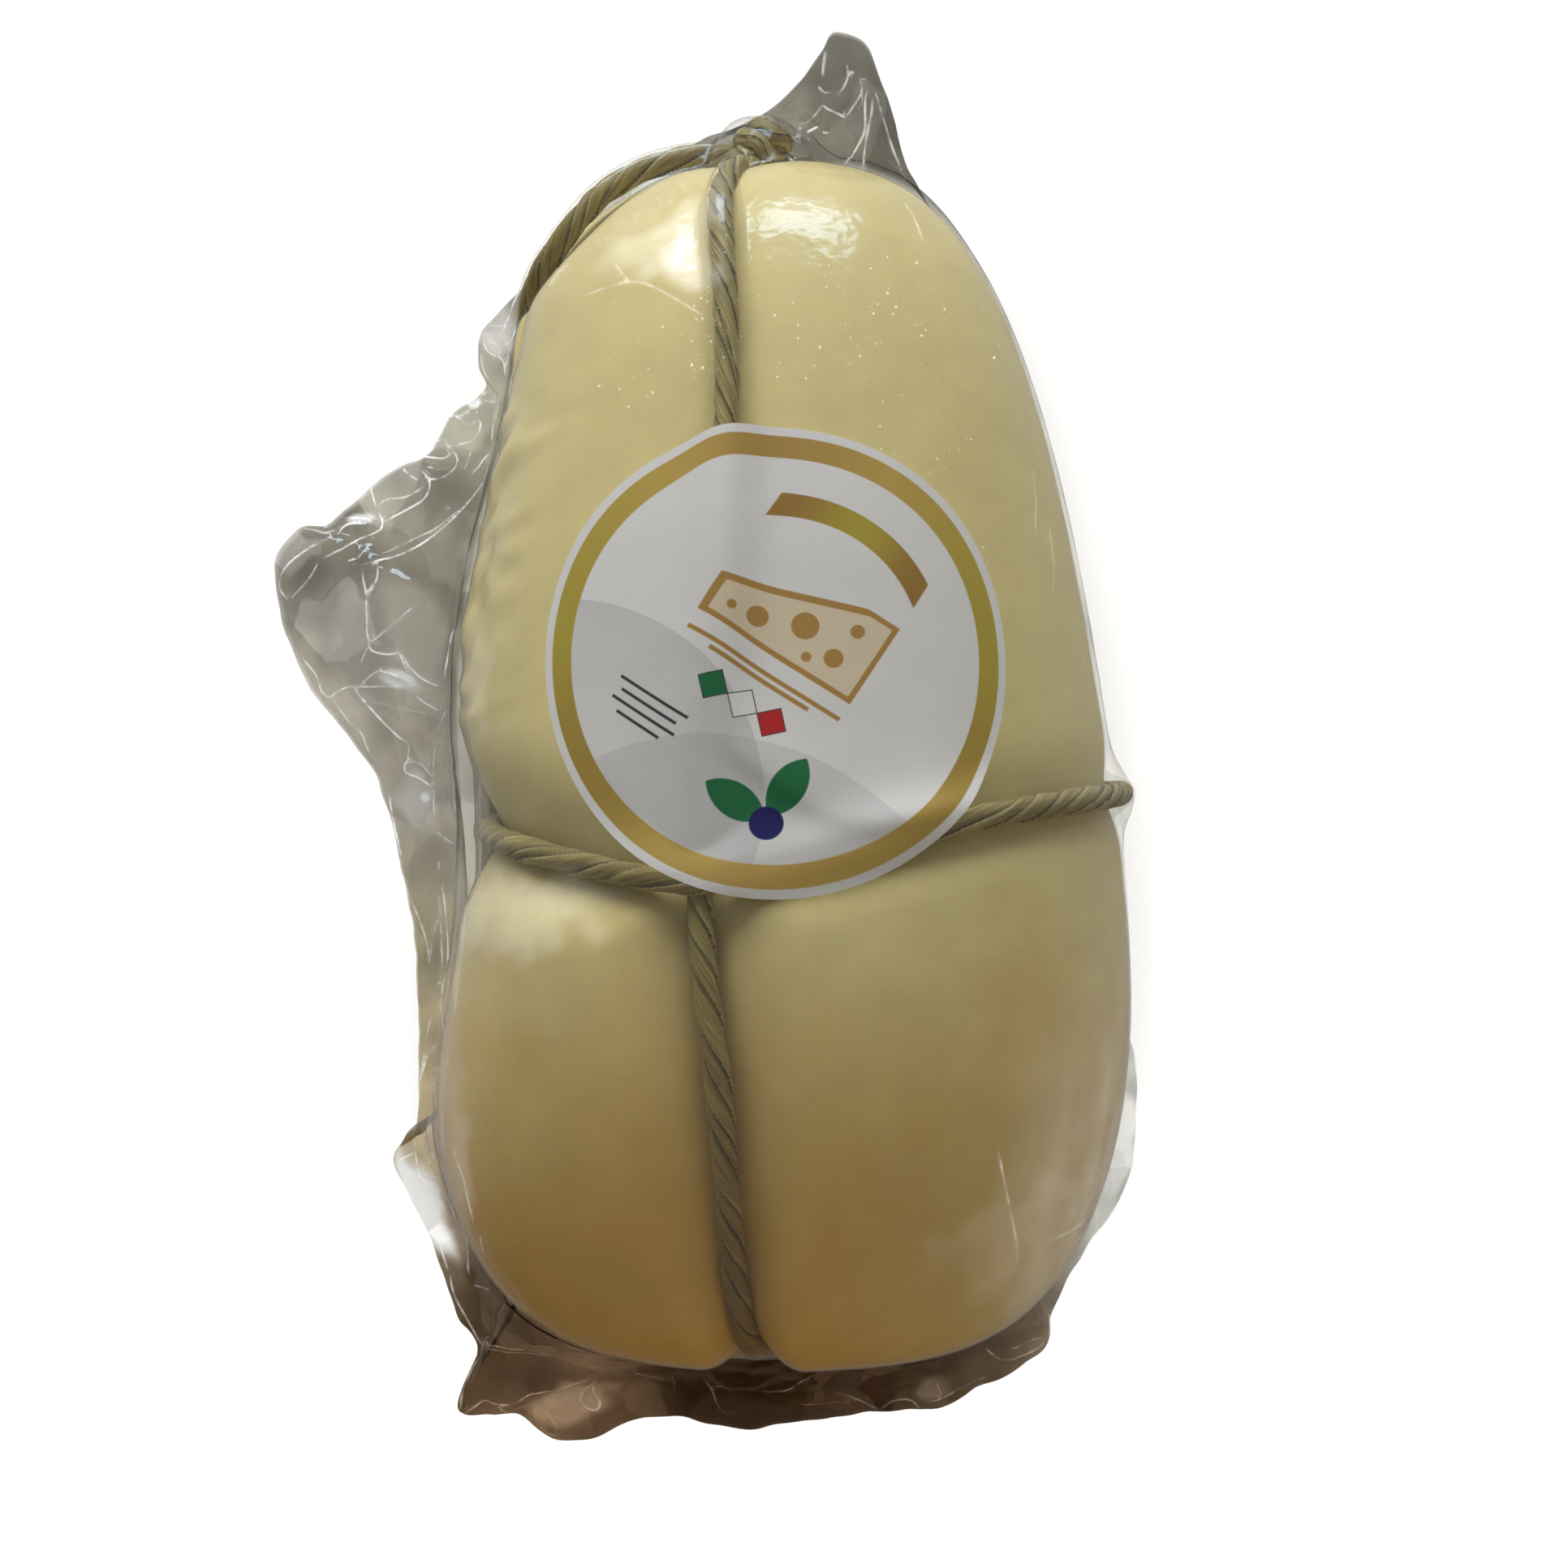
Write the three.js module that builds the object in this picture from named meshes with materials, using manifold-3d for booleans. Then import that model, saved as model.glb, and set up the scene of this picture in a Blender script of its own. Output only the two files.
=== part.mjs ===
// A pear-shaped stretched-curd cheese, tied with twine for hanging and vacuum-packed in clear film.
// It lies on its back: millimetres, +Z up, narrow end towards +Y, the round label on the upper side.
import * as THREE from 'three';
import { mergeVertices } from 'three/addons/utils/BufferGeometryUtils.js';
import Module from 'manifold-3d';

const { degToRad, lerp, smoothstep } = THREE.MathUtils;

// The cheese: a tapered body with two rounded ends, measured from its middle.
const NARROW_LENGTH = 130;
const BLUNT_LENGTH = 120.4;
const MIDDLE_WIDTH = 140.4;
const TAPER = 0.144; // half-width lost for each millimetre towards the narrow end
const BLUNT_ROUNDING = 0.0015; // half-width lost for each square millimetre towards the blunt end
const DEPTH_PER_WIDTH = 0.86;
const SECTION_POWER = 2.2; // 2 is an ellipse, more is squarer
const NARROW_END_POWER = 3.35;
const BLUNT_END_POWER = 4.5;
// Its left side differs from its right: fuller at the narrow shoulder, hollower at the girth.
const LEFT_SHOULDER = { y: 109, share: 0.12, length: 23 };
const LEFT_HOLLOW = { y: -26, share: -0.117, length: 37 };
const LEVEL_AXIS_FROM = -45; // towards the blunt end of this the axis stops rising
const AXIS_BEND = 20; // length of that change
const PRESSED_FLAT = 5; // how far the soft underside has sunk on its resting spot
const CHEESE_X = 15.2; // the cheese's middle from the middle of the whole pack
const CHEESE_Y = -6.1;

// The twine: four runs along the cheese, which meet at both ends, and one round its girth.
const TWINE_DIAMETER = 5.4;
const SEAT_GAP = 0.8;
const GROOVE_REACH = 12; // how far to each side of the twine its groove is felt
const NARROW_END_DIP = 1.6; // groove depths where the four runs meet
const BLUNT_END_DIP = 8.5;
const NARROW_END_FROM = 80; // the grooves change to those depths between these places along the axis
const BLUNT_END_FROM = 85;
const DIP_ENDS = 123;
const FRONT_LEAN = { narrow: 10, blunt: 7, pull: 3.5, pullLength: 35 }; // degrees left of the top, mm
const FRONT_SHOULDER = { lean: 18.6, from: 60, power: 3.5 }; // further left over the narrow shoulder
const FRONT_DIP = { narrow: 2.4, blunt: 8, from: 50, to: -30 };
const FRONT_REACH = { narrow: 14, blunt: 26 };
// The side runs swing to another angle over the narrow shoulder.
const LEFT_RUN = { angle: 199, shoulder: 170, from: 84, to: 118 };
const RIGHT_RUN = { angle: 346, shoulder: 316, from: 20, to: 122 };
const BACK_RUN_ANGLE = 270;
const SIDE_DIP = 4.5;
const BACK_DIP = 7; // deep enough to keep the twine off the table
const BACK_DIP_UNTIL = 110;
// The girth run is pulled towards the blunt end where it meets the front run.
const GIRTH = { y: -8, slant: 3.5, pull: 12, pullSpread: 35, pullPower: 1.5 };
const GIRTH_DIP = { middle: 5.2, leftward: 3.2, under: 3 };
const GIRTH_REACH = { middle: 16, leftward: 4 };
const KNOT = { aside: -4, acrossHalf: 9, upHalf: 6, stand: 5.5, wave: 2.5, points: 8 };

// The label: a thin paper disc on the film, bridging the grooves and lifted by the twine.
const LABEL_DIAMETER = 94;
const LABEL_THICKNESS = 0.4;
const LABEL_Y = 21.4;
const LABEL_LIFT = 0.6;
const LABEL_SAG = 0.3; // share of a groove's depth that the paper follows
const LABEL_TENT_WIDTH = 9;

// The loose film: a welded margin that stands out round the back of the cheese as flaps.
const FILM_THICKNESS = 0.6;
const FILM_HEIGHT = 26;
const FILM_MARGIN = 1.5;
const FILM_TUCK = 0.75; // the sheet starts inside the cheese, which trims it
const FILM_RIPPLE = 2.2;
const FILM_RIPPLES = 23;
const FILM_RIPPLE_FULL = 10; // a flap that reaches this far ripples in full
const FILM_GAP = 0.35;
// Each flap: direction seen from above, half-spread, reach past the cheese and rise of its edge.
const FLAPS = [
  { name: 'top ear', at: 84, spread: 7, reach: 26, rise: 16 },
  { name: 'shoulder', at: 108, spread: 17, reach: 6, rise: 4 },
  { name: 'wing', at: 156, spread: 17, reach: 43, rise: -6 },
  { name: 'wing foot', at: 180, spread: 16, reach: 15.5, rise: -2 },
  { name: 'veil', at: 207, spread: 16, reach: 13, rise: 0 },
  { name: 'side tab', at: 226, spread: 8, reach: 10.5, rise: -4 },
  { name: 'corner', at: 244, spread: 6, reach: 8, rise: -4 },
  { name: 'skirt', at: 264, spread: 33, reach: 23.5, rise: -15 },
  { name: 'right corner', at: 293, spread: 7, reach: 8, rise: -2 },
  { name: 'right tab', at: 312, spread: 14, reach: 5, rise: -2 },
];

// How finely each surface is split.
const PROFILE_SAMPLES = 240;
const RUN_COLUMNS = 14; // between two neighbouring runs of twine
const NARROW_ROWS = 24;
const BLUNT_ROWS = 20;
const COLUMN_CLUSTER = 0.5; // 0 spaces the columns evenly, 1 draws them fully to the runs
const ROW_CLUSTER = 1.35; // 1 spaces the rows evenly, more draws them to the girth run
const TWINE_SIDES = 8;
const TWINE_STEP = 8.5;
const LABEL_SECTORS = 32;
const LABEL_RINGS = 8;
const FILM_TURNS = 112;
const FILM_STEPS = 4;
const OUTLINE_ERROR = 1e-4;
const MERGE_WITHIN = 1e-4; // corners closer than this are one

const cheeseLength = NARROW_LENGTH + BLUNT_LENGTH;
const twineRadius = TWINE_DIAMETER / 2;
const upward = Math.PI / 2;
const fullTurn = 2 * Math.PI;

// Booleans on closed meshes
const wasm = await Module();
wasm.setup();

function solidOf(geometry) {
  const bare = geometry.clone();
  bare.deleteAttribute('normal');
  bare.deleteAttribute('uv');
  const merged = mergeVertices(bare, MERGE_WITHIN);
  const vertProperties = merged.attributes.position.array;
  const triVerts = new Uint32Array(merged.index.array);
  return new wasm.Manifold(new wasm.Mesh({ numProp: 3, vertProperties, triVerts }));
}

function geometryOf(solid) {
  const { vertProperties, triVerts } = solid.getMesh();
  const geometry = new THREE.BufferGeometry();
  geometry.setAttribute('position', new THREE.BufferAttribute(vertProperties, 3));
  geometry.setIndex(new THREE.BufferAttribute(triVerts, 1));
  return geometry;
}

// Quads of four points each, as one surface: a quad with a collapsed side is left a triangle.
function surfaceOf(quads) {
  const corners = [];
  const same = (a, b) => a.distanceTo(b) < MERGE_WITHIN;
  const addTriangle = (a, b, c) => {
    if (!same(a, b) && !same(b, c) && !same(c, a)) corners.push(a, b, c);
  };
  for (const [a, b, c, d] of quads) {
    addTriangle(a, b, d);
    addTriangle(b, c, d);
  }
  return mergeVertices(new THREE.BufferGeometry().setFromPoints(corners), MERGE_WITHIN);
}

// The quads of a grid whose rows run round and close on themselves.
function gridQuads(rows) {
  const quads = [];
  for (let j = 0; j + 1 < rows.length; j++) {
    const count = rows[j].length;
    for (let i = 0; i < count; i++) {
      const next = (i + 1) % count;
      quads.push([rows[j][i], rows[j][next], rows[j + 1][next], rows[j + 1][i]]);
    }
  }
  return quads;
}

// A thin solid between two faces of one grid, whose first row may be a single point.
function sheetSolid(rows, thickness) {
  const shifted = (amount) => rows.map((row) => row.map((p) => p.clone().setZ(p.z + amount)));
  const upper = shifted(thickness / 2);
  const lower = shifted(-thickness / 2);
  const last = rows.length - 1;
  const turned = ([a, b, c, d]) => [a, d, c, b];
  return surfaceOf([
    ...gridQuads(upper).map(turned),
    ...gridQuads(lower),
    ...gridQuads([upper[last], lower[last]]).map(turned),
    ...gridQuads([upper[0], lower[0]]),
  ]);
}

// Half-width before the ends close in
const bodyWidth = (y) => MIDDLE_WIDTH / 2 - TAPER * y - BLUNT_ROUNDING * Math.min(y, 0) ** 2;

// Width of the left side as a share of the right side's
function leftShare(y) {
  const change = ({ y: at, share, length }) => share * Math.exp(-(((y - at) / length) ** 2));
  return 1 + change(LEFT_SHOULDER) + change(LEFT_HOLLOW);
}

// The meridian of one end, from its pole to the middle, with the distance run along the surface.
function endProfile(power, poleY) {
  const samples = [];
  let run = 0;
  for (let k = 0; k <= PROFILE_SAMPLES; k++) {
    const rising = (k / PROFILE_SAMPLES) ** 3;
    const falling = (1 - k / PROFILE_SAMPLES) ** 3;
    const turn = (upward * rising) / (rising + falling);
    const y = poleY * Math.abs(Math.cos(turn)) ** (2 / power);
    const half = bodyWidth(y) * Math.sin(turn) ** (2 / power);
    const before = samples[k - 1];
    if (before) run += Math.hypot(y - before.y, half - before.half);
    samples.push({ y, half, run });
  }
  return samples;
}

const narrowEnd = endProfile(NARROW_END_POWER, NARROW_LENGTH);
const bluntEnd = endProfile(BLUNT_END_POWER, -BLUNT_LENGTH);
const narrowRun = narrowEnd[PROFILE_SAMPLES].run;
const wholeRun = narrowRun + bluntEnd[PROFILE_SAMPLES].run;

// Place along the axis and half-width at a distance from the narrow pole over the surface.
function stationAt(distance) {
  const samples = distance < narrowRun ? narrowEnd : bluntEnd;
  const run = Math.max(distance < narrowRun ? distance : wholeRun - distance, 0);
  const k = Math.max(samples.findIndex((sample) => sample.run >= run), 1);
  const [from, to] = [samples[k - 1], samples[k]];
  const share = (run - from.run) / (to.run - from.run);
  return { y: lerp(from.y, to.y, share), half: lerp(from.half, to.half, share) };
}

function axisHeight(y) {
  const past = y - LEVEL_AXIS_FROM;
  const rising = LEVEL_AXIS_FROM + (past + Math.hypot(past, AXIS_BEND)) / 2;
  return DEPTH_PER_WIDTH * (MIDDLE_WIDTH / 2 - TAPER * rising) - PRESSED_FLAT;
}

// A point of the cheese before it was tied, by its angle round the axis (0 is +X, a quarter turn is up).
function untiedPoint(angle, distance) {
  const { y, half } = stationAt(distance);
  const across = Math.cos(angle);
  const up = Math.sin(angle);
  const square = Math.abs(across) ** SECTION_POWER + Math.abs(up) ** SECTION_POWER;
  const reach = half * square ** (-1 / SECTION_POWER);
  const side = across < 0 ? lerp(1, leftShare(y), across ** 2) : 1;
  const z = axisHeight(y) + DEPTH_PER_WIDTH * reach * up;
  return new THREE.Vector3(reach * across * side, y, Math.max(z, 0));
}

function outwardAt(angle, distance) {
  if (distance <= 0) return new THREE.Vector3(0, 1, 0);
  if (distance >= wholeRun) return new THREE.Vector3(0, -1, 0);
  const step = 0.01;
  const round = untiedPoint(angle + step, distance).sub(untiedPoint(angle - step, distance));
  const along = untiedPoint(angle, distance + 1).sub(untiedPoint(angle, distance - 1));
  return round.cross(along).normalize();
}

// The runs of twine along the cheese, in turn round it
function runDip(y, middle, narrowFrom = NARROW_END_FROM) {
  const towardsEnd = lerp(middle, NARROW_END_DIP, smoothstep(y, narrowFrom, DIP_ENDS));
  return lerp(towardsEnd, BLUNT_END_DIP, smoothstep(-y, BLUNT_END_FROM, DIP_ENDS));
}

function frontAngle(y) {
  const share = (y + BLUNT_LENGTH) / cheeseLength;
  const pull = FRONT_LEAN.pull * Math.exp(-(((y - GIRTH.y + GIRTH.pull) / FRONT_LEAN.pullLength) ** 2));
  const past = Math.max(0, y - FRONT_SHOULDER.from) / (NARROW_LENGTH - FRONT_SHOULDER.from);
  const shoulder = FRONT_SHOULDER.lean * past ** FRONT_SHOULDER.power;
  return degToRad(90 + lerp(FRONT_LEAN.blunt, FRONT_LEAN.narrow, share) + pull + shoulder);
}

function swingAngle(run, y) {
  return degToRad(lerp(run.angle, run.shoulder, smoothstep(y, run.from, run.to)));
}

const frontShare = (y) => smoothstep(-y, -FRONT_DIP.from, -FRONT_DIP.to);
const frontDip = (y) => runDip(y, lerp(FRONT_DIP.narrow, FRONT_DIP.blunt, frontShare(y)));
const frontReach = (y) => lerp(FRONT_REACH.narrow, FRONT_REACH.blunt, frontShare(y));
const sideDip = (y) => runDip(y, SIDE_DIP);
const backDip = (y) => runDip(y, BACK_DIP, BACK_DIP_UNTIL);
const plainReach = () => GROOVE_REACH;

const runs = [
  { angleAt: frontAngle, dipAt: frontDip, reachAt: frontReach },
  { angleAt: (y) => swingAngle(LEFT_RUN, y), dipAt: sideDip, reachAt: plainReach },
  { angleAt: () => degToRad(BACK_RUN_ANGLE), dipAt: backDip, reachAt: plainReach },
  { angleAt: (y) => swingAngle(RIGHT_RUN, y), dipAt: sideDip, reachAt: plainReach },
];

// Signed angle from one direction to another, within half a turn
function angleBetween(from, to) {
  return Math.atan2(Math.sin(to - from), Math.cos(to - from));
}

// The girth run, as a distance from the narrow pole
function girthDistance(angle) {
  const fromFront = angleBetween(frontAngle(GIRTH.y - GIRTH.pull), angle) / degToRad(GIRTH.pullSpread);
  const pulled = GIRTH.pull * Math.exp(-(Math.abs(fromFront) ** GIRTH.pullPower));
  const y = GIRTH.y + GIRTH.slant * Math.cos(angle) - pulled;
  return narrowRun - y * Math.hypot(1, TAPER);
}

function girthDip(angle) {
  const under = Math.max(0, -Math.sin(angle));
  return GIRTH_DIP.middle - GIRTH_DIP.leftward * Math.cos(angle) + GIRTH_DIP.under * under;
}

const girthReach = (angle) => GIRTH_REACH.middle - GIRTH_REACH.leftward * Math.cos(angle);

const dent = (depth, reach, off) => depth * Math.max(0, 1 - (off / reach) ** 2) ** 3;

// How far the twine has pressed the cheese in
function grooveDepth(angle, distance) {
  const { y, half } = stationAt(distance);
  const dents = runs.map((run) => {
    return dent(run.dipAt(y), run.reachAt(y), half * angleBetween(run.angleAt(y), angle));
  });
  dents.push(dent(girthDip(angle), girthReach(angle), distance - girthDistance(angle)));
  return dents.reduce((sum, depth) => sum + depth ** 4, 0) ** 0.25;
}

// A point above the tied cheese, by its lift and the share of the grooves that it follows
function tiedPoint(angle, distance, lift = 0, share = 1) {
  const move = lift - share * grooveDepth(angle, distance);
  return untiedPoint(angle, distance).addScaledVector(outwardAt(angle, distance), move);
}

// The cheese's grid follows the runs of twine, with its rows and columns closest along them.
function cheeseRows(lift) {
  const rowCount = NARROW_ROWS + BLUNT_ROWS;
  const columnCount = runs.length * RUN_COLUMNS;
  const rows = [];
  for (let j = 0; j <= rowCount; j++) {
    const row = [];
    for (let i = 0; i < columnCount; i++) {
      const quarter = Math.floor(i / RUN_COLUMNS);
      const share = i / RUN_COLUMNS - quarter;
      const eased = share - (COLUMN_CLUSTER * Math.sin(fullTurn * share)) / fullTurn;
      const angleIn = (y) => {
        const start = runs[quarter].angleAt(y);
        const end = runs[(quarter + 1) % runs.length].angleAt(y);
        const span = (angleBetween(start, end) + fullTurn) % fullTurn;
        return start + span * eased;
      };
      const girthHere = girthDistance(angleIn(GIRTH.y));
      const narrowShare = 1 - (1 - Math.min(j / NARROW_ROWS, 1)) ** ROW_CLUSTER;
      const bluntShare = (Math.max(j - NARROW_ROWS, 0) / BLUNT_ROWS) ** ROW_CLUSTER;
      const distance = girthHere * narrowShare + (wholeRun - girthHere) * bluntShare;
      row.push(tiedPoint(angleIn(stationAt(distance).y), distance, lift));
    }
    rows.push(row);
  }
  return rows;
}

const cheeseSurface = (lift) => surfaceOf(gridQuads(cheeseRows(lift)));

// The twine's centre line: a lengthwise run spans the girth's groove, and the girth run follows every groove.
const seat = twineRadius + SEAT_GAP;

function onRun(run, distance) {
  const { y } = stationAt(distance);
  const angle = run.angleAt(y);
  return untiedPoint(angle, distance).addScaledVector(outwardAt(angle, distance), seat - run.dipAt(y));
}

// A closed loop along one run to the blunt end and back along the opposite one
function lengthwiseLoop(thereRun, backRun) {
  const steps = Math.round(wholeRun / TWINE_STEP);
  const points = [];
  for (let k = 0; k < 2 * steps; k++) {
    const run = k < steps ? thereRun : backRun;
    const distance = (wholeRun * (k < steps ? k : 2 * steps - k)) / steps;
    points.push(onRun(run, distance));
  }
  return new THREE.CatmullRomCurve3(points, true);
}

function girthLoop() {
  const steps = 2 * Math.round((Math.PI * MIDDLE_WIDTH) / (2 * TWINE_STEP));
  const points = [];
  for (let k = 0; k < steps; k++) {
    const angle = (fullTurn * k) / steps;
    points.push(tiedPoint(angle, girthDistance(angle), seat));
  }
  return new THREE.CatmullRomCurve3(points, true);
}

function knotLoop() {
  const pole = onRun(runs[0], 0);
  const points = [];
  for (let k = 0; k < KNOT.points; k++) {
    const turn = (fullTurn * k) / KNOT.points;
    const x = KNOT.aside + KNOT.acrossHalf * Math.cos(turn);
    const y = KNOT.stand + KNOT.wave * Math.cos(2 * turn);
    const z = KNOT.upHalf * Math.sin(turn);
    points.push(new THREE.Vector3(x, y, z).add(pole));
  }
  return new THREE.CatmullRomCurve3(points, true);
}

const twineLoops = [
  { curve: lengthwiseLoop(runs[0], runs[2]), step: TWINE_STEP },
  { curve: lengthwiseLoop(runs[1], runs[3]), step: TWINE_STEP },
  { curve: girthLoop(), step: TWINE_STEP },
  { curve: knotLoop(), step: TWINE_STEP / 2 },
];

function twineSolid(radius) {
  const tubes = twineLoops.map(({ curve, step }) => {
    const steps = Math.round(curve.getLength() / step);
    return solidOf(new THREE.TubeGeometry(curve, steps, radius, TWINE_SIDES, true));
  });
  return tubes.reduce((whole, tube) => whole.add(tube));
}

// How far the twine under the label stands above the paper's own level
function labelTent(angle, distance) {
  const { y, half } = stationAt(distance);
  const crossing = (depth, off) => {
    const proud = TWINE_DIAMETER + 2 * SEAT_GAP - LABEL_LIFT - (1 - LABEL_SAG) * depth;
    return Math.max(0, proud) * Math.exp(-((off / LABEL_TENT_WIDTH) ** 2));
  };
  const overFront = crossing(frontDip(y), half * angleBetween(frontAngle(y), angle));
  const overGirth = crossing(girthDip(angle), distance - girthDistance(angle));
  return Math.max(overFront, overGirth);
}

function labelRows() {
  const rows = [];
  const centreDistance = narrowRun - LABEL_Y * Math.hypot(1, TAPER);
  for (let j = 0; j <= LABEL_RINGS; j++) {
    const radius = (LABEL_DIAMETER / 2) * (j / LABEL_RINGS);
    const row = [];
    for (let i = 0; i < LABEL_SECTORS; i++) {
      const turn = (fullTurn * i) / LABEL_SECTORS;
      const distance = centreDistance - radius * Math.sin(turn);
      const angle = upward - (radius * Math.cos(turn)) / stationAt(distance).half;
      const lift = LABEL_LIFT + LABEL_THICKNESS + labelTent(angle, distance);
      row.push(tiedPoint(angle, distance, lift, LABEL_SAG));
    }
    rows.push(row);
  }
  return rows;
}

// The cheese's outline seen from above, as a radius from its middle
function outlineRadius(turn) {
  const [power, length] = Math.sin(turn) > 0 ? [NARROW_END_POWER, NARROW_LENGTH] : [BLUNT_END_POWER, BLUNT_LENGTH];
  const inside = (radius) => {
    const [x, y] = [radius * Math.cos(turn), radius * Math.sin(turn)];
    const along = Math.abs(y) / length;
    if (along >= 1) return false;
    const half = bodyWidth(y) * (1 - along ** power) ** (1 / power);
    return Math.abs(x) < half * (x < 0 ? leftShare(y) : 1);
  };
  let [low, high] = [0, cheeseLength];
  while (high - low > OUTLINE_ERROR) {
    const middle = (low + high) / 2;
    [low, high] = inside(middle) ? [middle, high] : [low, middle];
  }
  return low;
}

function filmPoint(turn, out) {
  const outline = outlineRadius(turn);
  let reach = FILM_MARGIN;
  let rise = 0;
  for (const flap of FLAPS) {
    const share = Math.exp(-((angleBetween(degToRad(flap.at), turn) / degToRad(flap.spread)) ** 2));
    reach += flap.reach * share;
    rise += flap.rise * share;
  }
  const radius = lerp(FILM_TUCK * outline, outline + reach, out);
  const ripple = FILM_RIPPLE * Math.sin(FILM_RIPPLES * turn) * Math.min(1, reach / FILM_RIPPLE_FULL);
  const z = FILM_HEIGHT + (rise + ripple) * out ** 2;
  return new THREE.Vector3(radius * Math.cos(turn), radius * Math.sin(turn), z);
}

function filmRows() {
  const rows = [];
  for (let j = 0; j <= FILM_STEPS; j++) {
    const row = [];
    for (let i = 0; i < FILM_TURNS; i++) row.push(filmPoint((fullTurn * i) / FILM_TURNS, j / FILM_STEPS));
    rows.push(row);
  }
  return rows;
}

// The film ends just clear of the cheese and of the twine that it passes.
function filmGeometry() {
  const sheet = solidOf(sheetSolid(filmRows(), FILM_THICKNESS));
  const trimmed = sheet.subtract(solidOf(cheeseSurface(FILM_GAP)));
  return geometryOf(trimmed.subtract(twineSolid(twineRadius + FILM_GAP)));
}

const curd = new THREE.MeshStandardMaterial({ color: 0xe2d6a4, roughness: 0.42, metalness: 0 });
const raffia = new THREE.MeshStandardMaterial({ color: 0x8f8556, roughness: 0.6, metalness: 0 });
const paper = new THREE.MeshStandardMaterial({ color: 0xe6e6e8, roughness: 0.5, metalness: 0 });
const film = new THREE.MeshStandardMaterial({
  color: 0xcfccc8,
  roughness: 0.12,
  metalness: 0,
  transparent: true,
  opacity: 0.3,
});

function part(name, geometry, material) {
  const mesh = new THREE.Mesh(geometry, material);
  mesh.name = name;
  return mesh;
}

const pack = new THREE.Group();
pack.position.set(CHEESE_X, CHEESE_Y, 0);
pack.add(part('cheese', cheeseSurface(0), curd));
pack.add(part('twine', geometryOf(twineSolid(twineRadius)), raffia));
pack.add(part('label', sheetSolid(labelRows(), LABEL_THICKNESS), paper));
pack.add(part('film_bag', filmGeometry(), film));

const provola = new THREE.Group();
provola.add(pack);

export default provola;
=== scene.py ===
import bpy
import math
import numpy as np
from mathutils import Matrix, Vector, kdtree, noise


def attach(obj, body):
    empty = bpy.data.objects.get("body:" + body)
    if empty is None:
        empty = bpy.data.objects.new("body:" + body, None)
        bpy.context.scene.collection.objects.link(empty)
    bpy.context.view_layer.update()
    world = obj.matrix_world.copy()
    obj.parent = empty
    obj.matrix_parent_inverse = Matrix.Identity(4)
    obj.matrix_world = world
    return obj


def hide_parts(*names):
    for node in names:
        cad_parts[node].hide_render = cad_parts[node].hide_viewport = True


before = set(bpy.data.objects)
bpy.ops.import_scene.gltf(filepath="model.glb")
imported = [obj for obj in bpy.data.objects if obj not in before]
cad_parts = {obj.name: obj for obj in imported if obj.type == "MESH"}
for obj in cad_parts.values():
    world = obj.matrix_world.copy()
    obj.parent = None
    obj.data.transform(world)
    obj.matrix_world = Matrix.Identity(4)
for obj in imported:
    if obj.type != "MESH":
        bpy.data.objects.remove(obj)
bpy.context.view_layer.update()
print("frame loaded with", sorted(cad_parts))

mm = 0.001

# The tied cheese, in millimetres from its own middle, lying with its narrow end towards +Y.
cheeseForm = {
    "narrowLength": 130,
    "bluntLength": 120.4,
    "middleWidth": 140.4,
    "taper": 0.144,
    "bluntRounding": 0.0015,
    "depthPerWidth": 0.86,
    "sectionPower": 2.2,
    "narrowPower": 3.35,
    "bluntPower": 4.5,
    "leftShoulder": {"y": 109, "share": 0.12, "length": 23},
    "leftHollow": {"y": -26, "share": -0.117, "length": 37},
    "levelAxisFrom": -45,
    "axisBend": 20,
    "pressedFlat": 5,
    "middle": (15.2, -6.1, 0),  # where its middle is in the pack
}

twineForm = {
    "diameter": 5.4,
    "seatGap": 0.8,
    "grooveReach": 12,
    "narrowDip": 1.6,
    "bluntDip": 8.5,
    "narrowFrom": 80,
    "bluntFrom": 85,
    "dipEnds": 123,
    "frontLean": {"narrow": 10, "blunt": 7, "pull": 3.5, "pullLength": 35},
    "frontShoulder": {"lean": 13, "from": 60, "power": 3.0},
    "frontDip": {"narrow": 2.4, "blunt": 8, "from": 50, "to": -30},
    "frontReach": {"narrow": 15, "blunt": 25, "end": 11, "endFrom": 82, "endTo": 114},
    "leftRun": {"angle": 199, "shoulder": 160, "from": 84, "to": 116},
    "rightRun": {"angle": 346, "shoulder": 316, "from": 20, "to": 122},
    "leftBridge": {"lift": 1.2, "from": 108, "to": 123},  # stands off the narrow end on its way to the knot
    "frontTuck": {"lift": -2.8, "from": 114, "to": 123},  # tucked under the left run at the narrow end
    "backAngle": 270,
    "sideDip": 4.5,
    "backDip": 7,
    "backDipUntil": 110,
    "girth": {"y": -8, "slant": 3.5, "pull": 12, "spread": 35, "power": 1.5},
    "girthDip": {"middle": 5.2, "leftward": 3.2, "under": 3},
    "girthReach": {"middle": 16, "leftward": 4, "above": 1.35, "below": 1.05},
    "dent": {"edge": 1.3, "bottom": 2.4},  # powers that shape a groove's section
    "join": 4,  # power that joins grooves where they cross
}


def smoothStep(value, low, high):
    share = np.clip((value - low) / (high - low), 0, 1)
    return share * share * (3 - 2 * share)


def mix(a, b, share):
    return a + (b - a) * share


# Half-width before the ends close in
def bodyWidth(y):
    half = cheeseForm["middleWidth"] / 2 - cheeseForm["taper"] * y
    return half - cheeseForm["bluntRounding"] * np.minimum(y, 0) ** 2


# Width of the left side as a share of the right side's
def leftShare(y):
    share = 1 + 0 * y
    for change in (cheeseForm["leftShoulder"], cheeseForm["leftHollow"]):
        share = share + change["share"] * np.exp(-(((y - change["y"]) / change["length"]) ** 2))
    return share


profileSteps = 241


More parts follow.
